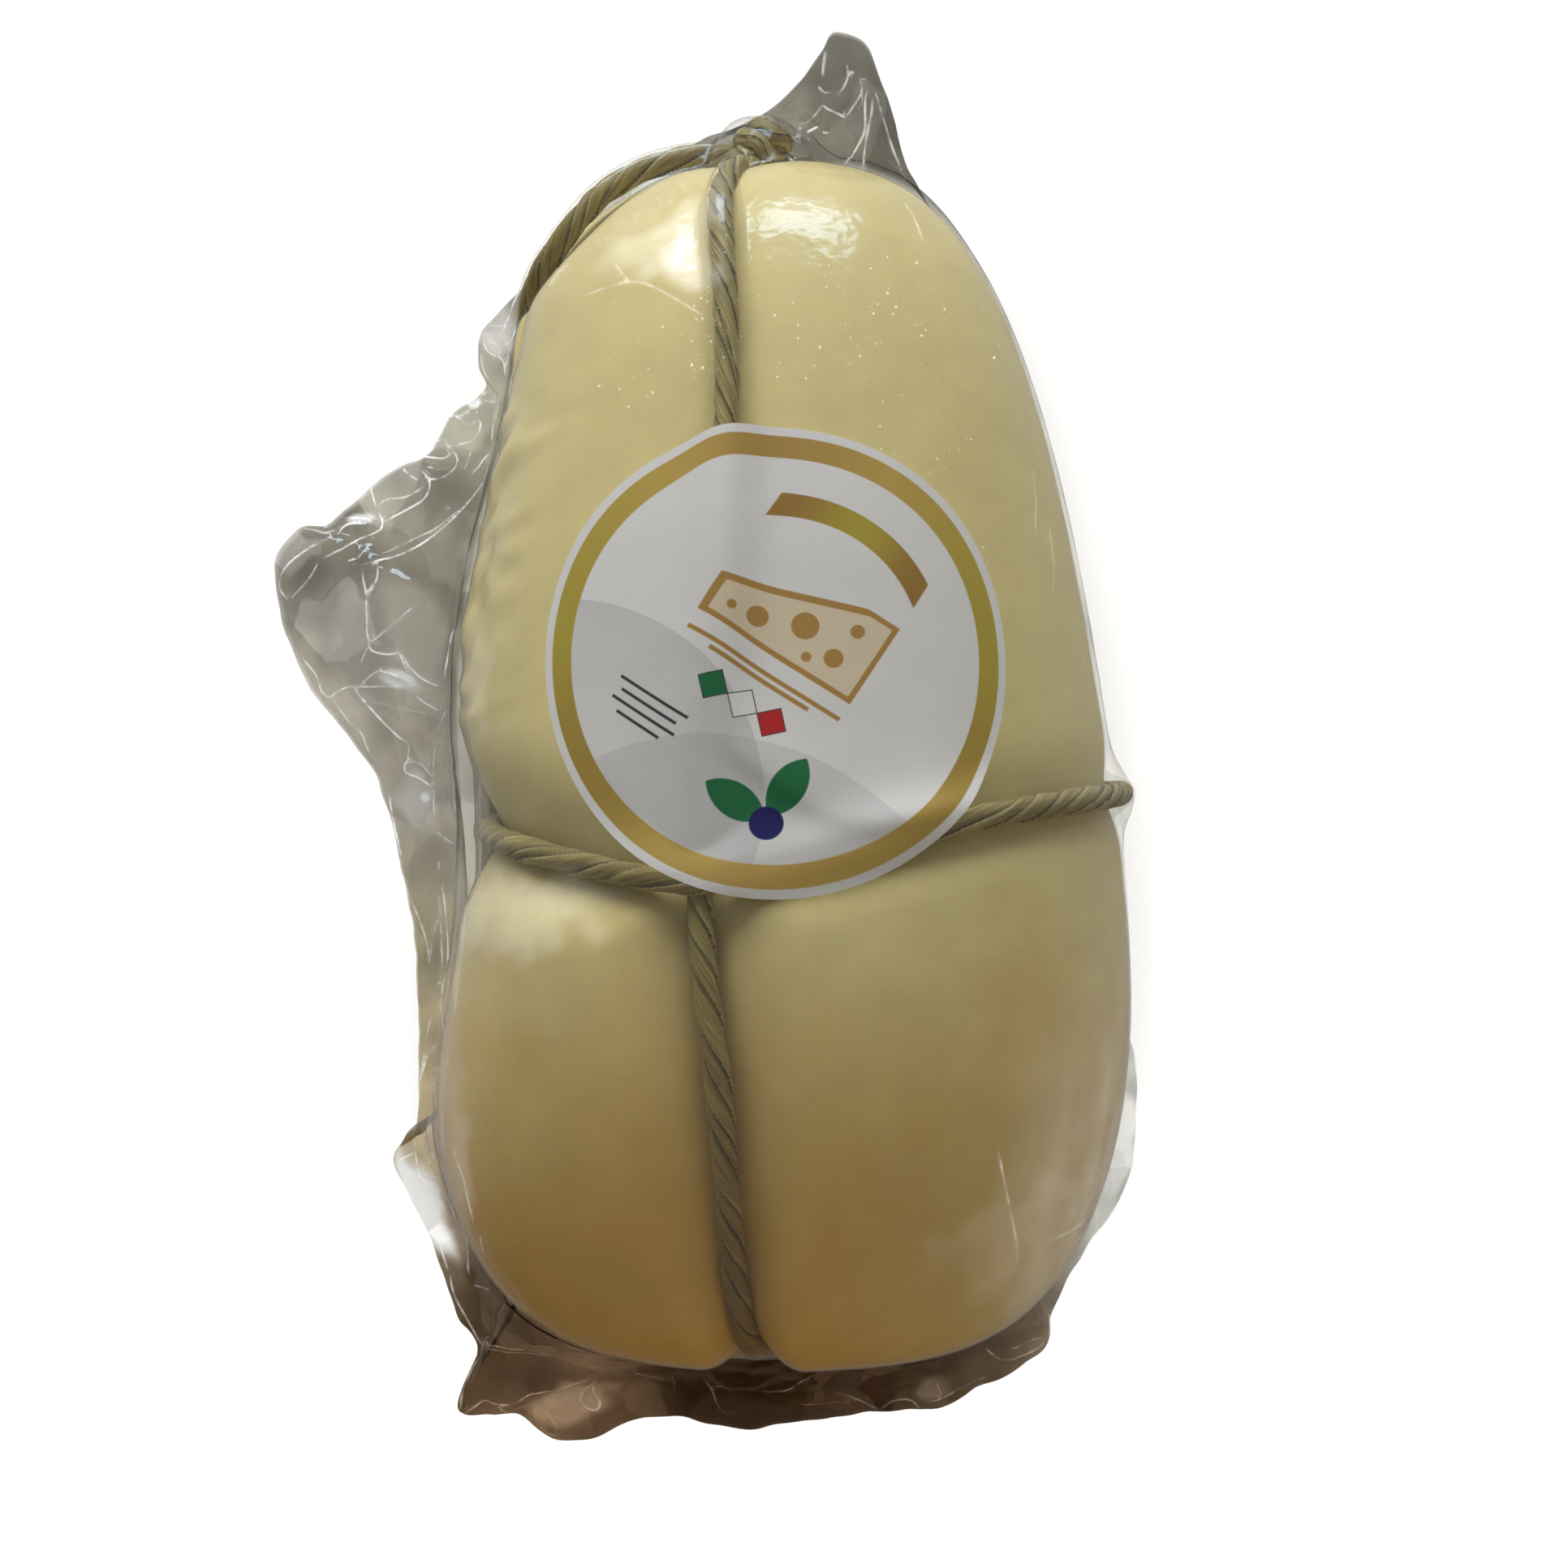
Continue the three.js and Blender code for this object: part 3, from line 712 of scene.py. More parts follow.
def twineTube(line, outward, seed):
    both, length = evenly(np.concatenate((line, outward), 1), twineLook["step"])
    line = softened(both[:, :3], 6)
    count, sides = len(line), twineLook["sides"]
    tangent = unit(np.roll(line, -1, 0) - np.roll(line, 1, 0))
    outward = both[:, 3:]
    outward = unit(outward - tangent * np.sum(outward * tangent, 1, keepdims=True))
    aside = np.cross(tangent, outward)
    twists = max(round(length / twineLook["pitch"]), 1)
    around = np.linspace(-math.pi, math.pi, sides, endpoint=False)[None, :]
    along = np.arange(count)[:, None] / count
    wander = 0.5 * np.sin(2 * math.pi * (5 * along + 0.1 * seed)) + 0.3 * np.sin(2 * math.pi * 13 * along)
    strand = (around + wander) / (2 * math.pi) + twists * along  # turns, fixed to the leaves, left-handed
    leafPlace = leavesAt(strand, along, length, seed)
    leaf, across = np.floor(leafPlace) % (len(twineLook["leaves"]) - 1), leafPlace % 1
    # each leaf rises to an edge that stands over the next one
    radius = twineLook["radius"] + twineLook["overlap"] * (across - 0.5)
    radius = radius + twineLook["bulge"] * np.sin(math.pi * across)
    field = np.stack(np.broadcast_arrays(strand * 40, along * length / 14, seed + 0 * strand), -1)
    fibres = noiseAt(field, 1.0, seed)
    swell = noiseAt(np.stack((along * length / 20, 0 * along, seed + 0 * along), -1), 1.0, 7)
    field = np.stack(np.broadcast_arrays(strand * 7, along * length / 9, leaf + 3.0 * seed), -1)
    folds = noiseAt(field, 1.0, 8)
    radius = radius * (1 + twineLook["swell"] * swell)
    radius = radius + twineLook["fibres"] * fibres + twineLook["folds"] * folds
    ring = np.cos(around)[..., None] * outward[:, None] + np.sin(around)[..., None] * aside[:, None]
    points = line[:, None] + radius[..., None] * ring
    # print coordinates: along the twine, and round it in leaves
    rowsAt = np.arange(count + 1)[:, None] / count
    turns = np.concatenate((wander, wander[:1])) / (2 * math.pi) + twists * rowsAt
    around = np.linspace(-math.pi, math.pi, sides + 1)[None, :]
    v = leavesAt(around / (2 * math.pi) + turns, rowsAt, length, seed)
    u = np.broadcast_to(rowsAt * length / 10 + 40 * seed, v.shape)
    uvGrid = np.stack((u, v), -1)
    quads = np.stack((uvGrid[:-1, :-1], uvGrid[:-1, 1:], uvGrid[1:, 1:], uvGrid[1:, :-1]), 2).reshape(-1, 2)
    return points.reshape(-1, 3), gridFaces(count, sides, ring=True), quads


def raffiaMaterial():
    material, tree = newTree("raffia")
    look = twineLook
    place = addNode(tree, "ShaderNodeUVMap", uv_map="print").outputs[0]
    fibre = noiseNode(tree, stretched(tree, place, look["fibreScale"]), 1.5, 4, 0.7)
    tone = noiseNode(tree, stretched(tree, place, look["toneScale"]), 1.3, 3, 0.5)
    colour = blendColour(tree, ranged(tree, fibre, 0.36, 0.64), look["straw"], look["light"])
    colour = blendColour(tree, ranged(tree, tone, 0.35, 0.7, 0.0, 0.6), colour, look["straw"])
    # each leaf gets painted shade where the one before lies over it, and a painted highlight at its own
    # raised edge
    across = maths(tree, "FRACT", axesOf(tree, place)["Y"])
    edgeHighlight = ranged(tree, across, 0.72, 0.95, 0.0, 0.5)
    edgeHighlight = maths(tree, "MULTIPLY", edgeHighlight, ranged(tree, fibre, 0.3, 0.6))
    colour = blendColour(tree, edgeHighlight, colour, look["edgeHighlight"])
    crease = ranged(tree, across, 0.02, 0.26, 0.95, 0.0)
    crease = maths(tree, "MULTIPLY", crease, ranged(tree, tone, 0.3, 0.55, 0.45, 1.0))
    colour = blendColour(tree, crease, colour, look["overlapShade"])
    # darker and warmer towards the blunt end
    towardsBlunt = ranged(tree, axesOf(tree, objectPlace(tree))["Y"], *look["bluntToneAt"], 1.0, 0.0)
    colour = blendColour(tree, towardsBlunt, colour, look["bluntTone"], "MULTIPLY")
    bump = bumpNode(tree, fibre, 0.6, 0.0003)
    rough = ranged(tree, fibre, 0.3, 0.7, 0.5, 0.36)
    inputs = {"Base Color": colour, "Normal": bump, "Roughness": rough, "Sheen Weight": 0.1}
    endTree(tree, addNode(tree, "ShaderNodeBsdfPrincipled", inputs))
    return material


def makeTwine():
    loops = [lengthwiseLoop(frontRun, backRun), lengthwiseLoop(leftRun, rightRun), girthLoop(), knotLoop()]
    points, faces, prints = [], [], []
    start = 0
    for seed, (line, outward) in enumerate(loops):
        tube, quads, uv = twineTube(line, outward, seed + 1)
        points.append(tube)
        faces.append(quads + start)
        prints.append(uv)
        start += len(tube)
    points = np.concatenate(points)
    points[:, 2] = np.maximum(points[:, 2], twineLook["lowest"])
    piece = makePiece("twine_strands", points, faces, raffiaMaterial(), np.concatenate(prints))
    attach(piece, "root")
    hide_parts("twine")


# Label

labelForm = {
    "diameter": 94,
    "thickness": 0.4,
    "y": 21.4,
    "lift": 0.6,
    "sag": 0.3,
    "tentWidth": 6.5,
    "shrink": 0.984,  # along the cheese
    "fold": [(-14, 11), (-10, 8), (-3.7, 2.2), (5, -4), (14, -8.4), (25, -8.4), (36, -5.5), (46, -3)],
    "foldLift": 1.1,
    "foldWidths": (9, 3.2),  # above and below the crease
    "sectors": 220,
    "rings": 64,
    "printTurn": -33,  # degrees, how the print lies
    "printSpan": 100,  # millimetres across the whole print
}

labelLook = {
    "paper": (0.85, 0.85, 0.84, 1),
    "goldLight": (0.74, 0.51, 0.15, 1),
    "goldDark": (0.46, 0.27, 0.075, 1),
    "goldOlive": (0.60, 0.49, 0.085, 1),
    "grey": (0.42, 0.425, 0.44, 1),
    "green": (0.015, 0.17, 0.06, 1),
    "red": (0.52, 0.02, 0.02, 1),
    "navy": (0.012, 0.012, 0.12, 1),
    "ink": (0.05, 0.05, 0.055, 1),
    "ring": (40.6, 45.2),  # millimetres from the middle
}

# The print in millimetres from its middle: discs as x, y and radius, bars as x, y and half-sizes.
printPlan = {
    "hills": [((-20, -46, 40), 0.42), ((24, -62, 50), 0.3)],
    "arc": {"ring": (28.6, 33.4), "bar": (0, 30, 17, 12), "sheen": 0.21},
    "wedge": {"bar": (0, 9, 17, 9), "inside": (0.3, 9, 15.6, 7.9), "slope": 0.36, "top": 14.5, "line": 1.5},
    "holes": [(-7, 5, 2.1), (1.5, 8.5, 2.7), (9.5, 6, 1.9), (10.5, 13, 1.4), (-12, 4, 0.9), (5, 3.4, 1.0)],
    "rules": [(0, -3.6, 17, 0.45), (0, -5.2, 11, 0.45)],
    "lozenges": {"x": {-6.5: "green", 0: "paper", 6.5: "red"}, "y": -11, "outer": 3.4, "inner": 3.1},
    "leaves": [((11.2, -20, 8.2), (20.8, -20, 8.2)), ((9, -22.6, 8.2), (9, -32.2, 8.2))],
    "berry": (16.4, -28, 3.3),
    "lines": {"x": -15, "y": -19, "spacing": 2.1, "halves": (8, 6.5, 7.4, 5), "thick": 0.32},
}


def labelTent(angle, distance):
    y = station(distance)[0]
    clear = twineForm["diameter"] + 2 * twineForm["seatGap"] - labelForm["lift"]
    keep = 1 - labelForm["sag"]
    overFront = np.maximum(0, clear - keep * frontDip(y))
    overFront = overFront * np.exp(-((runOff(frontRun, angle, distance) / labelForm["tentWidth"]) ** 2))
    overGirth = np.maximum(0, clear - keep * girthDip(angle))
    overGirth = overGirth * np.exp(-(((distance - girthDistance(angle)) / labelForm["tentWidth"]) ** 2))
    return np.maximum(overFront, overGirth)


def labelSurface(radius, turn, lift):
    middle = narrowRun - labelForm["y"] * math.hypot(1, cheeseForm["taper"])
    distance = middle - labelForm["shrink"] * radius * np.sin(turn)
    angle = math.pi / 2 - radius * np.cos(turn) / station(distance)[1]
    stand = labelForm["lift"] + labelTent(angle, distance) + lift
    return tiedPoint(angle, distance, stand, labelForm["sag"])


# A crease from the crossing, gentle on its upper side and steep on its lower one.
def labelFold(points):
    curve = evenly(openCurve(np.array(labelForm["fold"], float), 10), 1.5, closed=False)[0]
    off, share = alongLine(points[..., :2].reshape(-1, 2), curve)
    lift = np.exp(-((off / np.where(off > 0, *labelForm["foldWidths"])) ** 2)) * smoothStep(share, 0, 0.25)
    lift = lift * (1 - smoothStep(share, 0.7, 1))
    return labelForm["foldLift"] * lift.reshape(points.shape[:-1])


# Masks for the shapes of the print.
class Print:
    def __init__(self, tree, place):
        self.tree = tree
        self.edge = 0.12
        span, axes = labelForm["printSpan"], axesOf(tree, place)
        self.p, self.q = (maths(tree, "MULTIPLY_ADD", axes[key], span, -span / 2) for key in ("X", "Y"))

    def maths(self, operation, a, b=0.0, clamp=False):
        return maths(self.tree, operation, a, b, clamp=clamp)

    def apart(self, x, y):
        return self.maths("SUBTRACT", self.p, x), self.maths("SUBTRACT", self.q, y)

    def away(self, x, y):
        across, up = self.apart(x, y)
        square = self.maths("ADD", self.maths("MULTIPLY", across, across), self.maths("MULTIPLY", up, up))
        return self.maths("SQRT", square)

    def under(self, value, limit):
        return ranged(self.tree, value, limit - self.edge, limit + self.edge, 1.0, 0.0)

    def disc(self, x, y, radius):
        return self.under(self.away(x, y), radius)

    def ring(self, inner, outer):
        away = self.away(0, 0)
        return self.maths("SUBTRACT", self.under(away, outer), self.under(away, inner), clamp=True)

    def bar(self, x, y, halfWide, halfHigh):
        across, up = (self.maths("ABSOLUTE", off) for off in self.apart(x, y))
        return self.both(self.under(across, halfWide), self.under(up, halfHigh))

    def lozenge(self, x, y, half):
        across, up = (self.maths("ABSOLUTE", off) for off in self.apart(x, y))
        return self.under(self.maths("ADD", across, up), half)

    def both(self, a, b):
        return self.maths("MULTIPLY", a, b)


def paperMaterial():
    material, tree = newTree("satin_paper")
    look, plan = labelLook, printPlan
    place = addNode(tree, "ShaderNodeUVMap", uv_map="print").outputs[0]
    ink = Print(tree, place)
    grain = noiseNode(tree, place, 260, 3, 0.6)
    inside = ink.under(ink.away(0, 0), look["ring"][0])
    colour = blendColour(tree, ranged(tree, grain, 0.3, 0.7, 0.0, 0.16), look["paper"], look["grey"])
    # soft grey hills in the lower half
    for (x, y, radius), strength in plan["hills"]:
        hill = ink.both(ink.disc(x, y, radius), inside)
        fade = ranged(tree, ink.away(x, y), radius * 0.35, radius, 0.12, strength)
        colour = blendColour(tree, ink.both(hill, fade), colour, look["grey"])
    # gold ring, turning from brown gold to olive gold round the label
    turn = ink.maths("ARCTAN2", ink.q, ink.p)
    olive = ink.maths("SINE", maths(tree, "MULTIPLY_ADD", turn, 2.0, 0.5))
    gold = blendColour(tree, ranged(tree, olive, -1.0, 1.0), look["goldLight"], look["goldOlive"])
    brown = ink.maths("COSINE", ink.maths("MULTIPLY", turn, 3.0))
    gold = blendColour(tree, ranged(tree, brown, 0.1, 1.0, 0.0, 0.55), gold, look["goldDark"])
    glitter = ranged(tree, noiseNode(tree, place, 900, 2, 0.6), 0.3, 0.7, 0.85, 1.15)
    gold = blendColour(tree, 1.0, gold, glitter, "MULTIPLY")
    ringMask = ink.ring(*look["ring"])
    colour = blendColour(tree, ringMask, colour, gold)
    # plain gold arc, with a painted sheen across it
    sheen = ink.maths("COSINE", ink.maths("MULTIPLY", ink.p, plan["arc"]["sheen"]))
    arcGold = blendColour(tree, ranged(tree, sheen, -1.0, 1.0), look["goldDark"], look["goldOlive"])
    arcMask = ink.both(ink.ring(*plan["arc"]["ring"]), ink.bar(*plan["arc"]["bar"]))
    colour = blendColour(tree, arcMask, colour, arcGold)
    # a wedge of cheese with holes
    wedge = plan["wedge"]
    slope = maths(tree, "MULTIPLY_ADD", ink.p, wedge["slope"], wedge["top"])
    whole = ink.both(ink.bar(*wedge["bar"]), ink.under(ink.maths("SUBTRACT", ink.q, slope), 0))
    innerSlope = ink.maths("SUBTRACT", slope, wedge["line"])
    hollow = ink.both(ink.bar(*wedge["inside"]), ink.under(ink.maths("SUBTRACT", ink.q, innerSlope), 0))
    colour = blendColour(tree, ink.maths("MULTIPLY", whole, 0.5), colour, look["goldLight"])
    colour = blendColour(tree, ink.maths("SUBTRACT", whole, hollow, clamp=True), colour, look["goldDark"])
    for hole in plan["holes"]:
        colour = blendColour(tree, ink.disc(*hole), colour, look["goldDark"])
    # rules and three lozenges
    for rule in plan["rules"]:
        colour = blendColour(tree, ink.bar(*rule), colour, look["goldDark"])
    lozenges = plan["lozenges"]
    for x, paint in lozenges["x"].items():
        colour = blendColour(tree, ink.lozenge(x, lozenges["y"], lozenges["outer"]), colour, look["ink"])
        colour = blendColour(tree, ink.lozenge(x, lozenges["y"], lozenges["inner"]), colour, look[paint])
    # two leaves, a berry and a block of fine lines
    for first, second in plan["leaves"]:
        colour = blendColour(tree, ink.both(ink.disc(*first), ink.disc(*second)), colour, look["green"])
    colour = blendColour(tree, ink.disc(*plan["berry"]), colour, look["navy"])
    fine = plan["lines"]
    for k, half in enumerate(fine["halves"]):
        mask = ink.bar(fine["x"], fine["y"] - fine["spacing"] * k, half, fine["thick"])
        colour = blendColour(tree, mask, colour, look["ink"])
    golden = ink.maths("MAXIMUM", ringMask, arcMask)
    inputs = {
        "Base Color": colour,
        "Normal": bumpNode(tree, grain, 0.18, 0.0002),
        "Roughness": ranged(tree, golden, 0.0, 1.0, 0.42, 0.3),
        "Metallic": ink.maths("MULTIPLY", golden, 0.35),
    }
    endTree(tree, addNode(tree, "ShaderNodeBsdfPrincipled", inputs))
    return material


def makeLabel():
    rings, sectors = labelForm["rings"], labelForm["sectors"]
    radius = np.linspace(0.01, 1, rings)[:, None] * labelForm["diameter"] / 2
    turn = np.linspace(0, 2 * math.pi, sectors, endpoint=False)[None, :]
    radius, turn = np.broadcast_arrays(radius, turn)
    half = labelForm["thickness"] / 2
    upper = labelSurface(radius, turn, labelForm["thickness"] + half)
    lower = labelSurface(radius, turn, labelForm["thickness"] - half)
    wrinkle = labelFold(upper) + 0.25 * noiseAt(upper, 21, 5) + 0.07 * noiseAt(upper, 7, 6)
    upper[..., 2] += wrinkle
    lower[..., 2] += wrinkle
    points, faces = closedGrid(np.concatenate((lower, upper[::-1])))
    lie = turn - math.radians(labelForm["printTurn"])
    flat = np.stack((radius * np.cos(lie), radius * np.sin(lie)), -1) / labelForm["printSpan"] + 0.5
    flat = np.concatenate((flat.reshape(-1, 2), flat[::-1].reshape(-1, 2), [[0.5, 0.5], [0.5, 0.5]]))
    corners = np.concatenate([np.asarray(group).ravel() for group in faces])
    piece = makePiece("label_disc", points, faces, paperMaterial(), uv=flat[corners])
    piece.data.set_sharp_from_angle(angle=math.radians(40))
    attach(piece, "root")
    piece.visible_shadow = False
    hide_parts("label")


# Film

skinLook = {
    "rows": 300,
    "columns": 310,
    "gap": 0.35,
    "over": 0.4,  # above the twine
    "flank": 1.7,  # slope of the film beside the twine
    "soften": 0.3,
    "clear": (0.985, 0.985, 0.98, 1),
}

# Where the film looks hazy: x, y, half-sizes, turn in degrees and haze. The patches at (-22, 109), (-17,
# 102), (5, 113) and (-50, -28) are painted highlights and the one at (53, -92) a painted reflection; the
# others are film that has come away from the cheese.
skinHaze = [
    (-22, 109, 14, 7, 30, 0.26),
    (-17, 102, 6, 7, 20, 0.36),
    (-61, 18, 4, 14, 0, 0.12),
    (-50, -28, 20, 8, 8, 0.2),
    (5, 113, 10, 5, 0, 0.08),
    (53, -92, 19, 15, 20, 0.05),
    (-66, -80, 6, 26, 0, 0.16),
]
# Haze down the right edge, in degrees round the cheese, partly film that lies double and partly a painted
# reflection, and less shine on it.
rimHaze = {"from": 16, "to": 58, "upper": 0.02, "lower": 0.40, "lowerFrom": 30, "lowerTo": 78, "matt": 0.8}
knotWrap = {"lift": 12.5, "width": 11, "flatten": 0.8, "from": 100, "to": 122, "sink": 2}

# Each film: haze seen straight on, roughness, haze at a slant, depth of its wrinkles in metres, and how far
# its facets are painted lighter and darker.
filmLooks = {
    "clear_film": {"haze": 0.008, "rough": 0.19, "slant": 0.06, "wrinkle": 0.0016, "facets": 0.0},
    "loose_film": {"haze": 0.004, "rough": 0.1, "slant": 0.14, "wrinkle": 0.0012, "facets": 0.07},
    "drops": {"haze": 0.02, "rough": 0.06, "slant": 0.4, "wrinkle": 0.0001, "facets": 0.0},
}
# the skirt's haze is painted brown, the shadow under the cheese
milkColours = {"plain": (0.82, 0.825, 0.83, 1), "skirtShade": (0.50, 0.37, 0.25, 1)}

# Creases of the film on the cheese, seen from above: strength and points. Each shows as a thin white line,
# partly a whitened crease and partly a painted highlight.
skinLines = [
    (0.7, [(-39.4, 97.6), (-33.3, 99.1), (-27.8, 99.4), (-23, 97), (-16.9, 93), (-12.9, 90.3)]),
    (0.5, [(-32.7, 104), (-31.4, 102), (-29.6, 99.7)]),
    (0.7, [(26.7, 119), (28.9, 115), (30.5, 109.4)]),
    (0.5, [(42.8, -72.5), (44.7, -81.1), (47.1, -91.7), (47.4, -96.1)]),
    (0.5, [(64.5, -89.5), (60, -91.4), (54.4, -92.5)]),
    (0.3, [(52.5, 62), (53, 56), (52.6, 48)]),
    (0.3, [(56, 50), (56.6, 42), (56.2, 36)]),
    (0.7, [(-64.1, -74.8), (-63.4, -77.7), (-61.9, -81), (-61.2, -84.7), (-60.1, -89.8)]),
    (0.6, [(-58.8, -92.3), (-58.4, -96.7)]),
    (0.8, [(-44.2, 105.6), (-45.7, 104.2), (-47.5, 101.6)]),
    (0.35, [(70.7, -61.7), (70.2, -66.2), (69.8, -70.7)]),
    (0.4, [(72.3, -59.3), (72.9, -61.7), (73.5, -63.5)]),
    (0.4, [(66.7, -81.7), (67.1, -85.6), (67.3, -90.1)]),
    (0.5, [(59.8, -95.3), (62.8, -94.6), (66.7, -93.4), (68.5, -92.5)]),
]

# Fine wrinkles that run from the left string towards the cheese, drawn as thin painted highlights.
stringWrinkles = {
    "count": 20,
    "from": (-46, 108),
    "to": (-16, 125),
    "heading": -62,
    "length": (2, 5),
    "strength": (0.1, 0.35),
    "seed": 4,
}
creaseWidth = 0.9


def openCurve(points, each):
    first, last = 2 * points[0] - points[1], 2 * points[-1] - points[-2]
    padded = np.concatenate(([first], points, [last]))
    curve = throughPoints(padded, each).reshape(len(padded), each, -1)[1:-2].reshape(-1, points.shape[1])
    return np.concatenate((curve, points[-1:]))


def throughPoints(points, each):
    before, after, later = np.roll(points, 1, 0), np.roll(points, -1, 0), np.roll(points, -2, 0)
    shares = np.arange(each)[None, :, None] / each
    a, b, c, d = (p[:, None] for p in (before, points, after, later))
    curve = 0.5 * (2 * b + (c - a) * shares + (2 * a - 5 * b + 4 * c - d) * shares**2
                   + (3 * b - a - 3 * c + d) * shares**3)
    return curve.reshape(-1, points.shape[1])


# Signed distance to a line, positive on its left, and the share of its length at the nearest point.
def alongLine(place, curve):
    best, share = np.full(len(place), 99.0), np.zeros(len(place))
    for k in range(len(curve) - 1):
        step = curve[k + 1] - curve[k]
        at = np.clip((place - curve[k]) @ step / (step @ step), 0, 1)
        gap = place - curve[k] - at[:, None] * step
        side = np.where(step[0] * gap[:, 1] - step[1] * gap[:, 0] < 0, -1, 1)
        away = side * np.linalg.norm(gap, axis=1)
        closer = np.abs(away) < np.abs(best)
        best = np.where(closer, away, best)
        share = np.where(closer, (k + at) / (len(curve) - 1), share)
    return best, share


# Signed distance, seen from above, to the nearest of some lines, and how strong that line is there.
def lineField(points, linesToFollow):
    flat = points[..., :2].reshape(-1, 2)
    off, strong = np.full(len(flat), 99.0), np.zeros(len(flat))
    for strength, line in linesToFollow:
        curve = evenly(openCurve(np.array(line, float), 10), 1.5, closed=False)[0]
        near = np.nonzero(np.all((flat > curve.min(0) - 5) & (flat < curve.max(0) + 5), 1))[0]
        place = flat[near]
        best, share = alongLine(place, curve)
        taper = 0.3 + 0.7 * smoothStep(share, 0, 0.15) * (1 - smoothStep(share, 0.85, 1))
        taper = taper * ((share > 0) & (share < 1))
        closer = np.abs(best) < np.abs(off[near])
        strong[near] = np.where(closer, strength * taper, strong[near])
        off[near] = np.where(closer, best, off[near])
    return off.reshape(points.shape[:-1]), strong.reshape(points.shape[:-1])


# strength of each crease's white line, partly a painted highlight
def creaseValues(off, strong):
    return {"off": off, "creaseGlint": strong * np.exp(-((off / creaseWidth) ** 2))}


# How much of a point lies in an oval patch seen from above.
def inPatch(points, x, y, wide, long, turn):
    heading = math.radians(turn)
    ragged = 0.6 * min(wide, long)
    across = points[..., 0] - x + ragged * noiseAt(points, 7, 15)
    up = points[..., 1] - y + ragged * noiseAt(points, 7, 16)
    along = across * math.cos(heading) + up * math.sin(heading)
    aside = up * math.cos(heading) - across * math.sin(heading)
    return 1 - smoothStep(np.hypot(along / wide, aside / long), 0.6, 1.2)


def softMost(values, width):
    most = np.max(values, axis=0)
    return most + width * np.log(np.sum([np.exp((value - most) / width) for value in values], axis=0))


def knotCover(points):
    off = points - knotMiddle()
    away = np.hypot(off[..., 0], off[..., 2] * knotWrap["flatten"])
    lift = knotWrap["lift"] * np.exp(-((away / knotWrap["width"]) ** 4))
    return lift * smoothStep(points[..., 1], knotWrap["from"], knotWrap["to"])


# Height of film drawn over a string, by the distance from the string's middle line.
def drawnOver(off):
    radius = twineForm["diameter"] / 2 + skinLook["over"]
    turn = 0.75 * radius
    flank = math.sqrt(radius**2 - turn**2) - (off - turn) * skinLook["flank"]
    return np.where(off < turn, np.sqrt(np.maximum(radius**2 - off**2, 0)), flank)


def skinHeight(angle, distance, bare):
    y = station(distance)[0]
    seat = twineForm["diameter"] / 2 + twineForm["seatGap"]
    layers = [cheeseRelief(angle, distance, bare) + skinLook["gap"] - grooveDepth(angle, distance)]
    for run in allRuns:
        layers.append(seat - run["dip"](y) + run["off"](y) + drawnOver(np.abs(runOff(run, angle, distance))))
    along = girthDistance(angle)
    lift = seat - grooveDepth(angle, along) + crossingLift(angle)
    layers.append(lift + drawnOver(np.abs(distance - along)))
    layers.append(knotCover(bare) - knotWrap["sink"])
    return softMost(layers, skinLook["soften"])


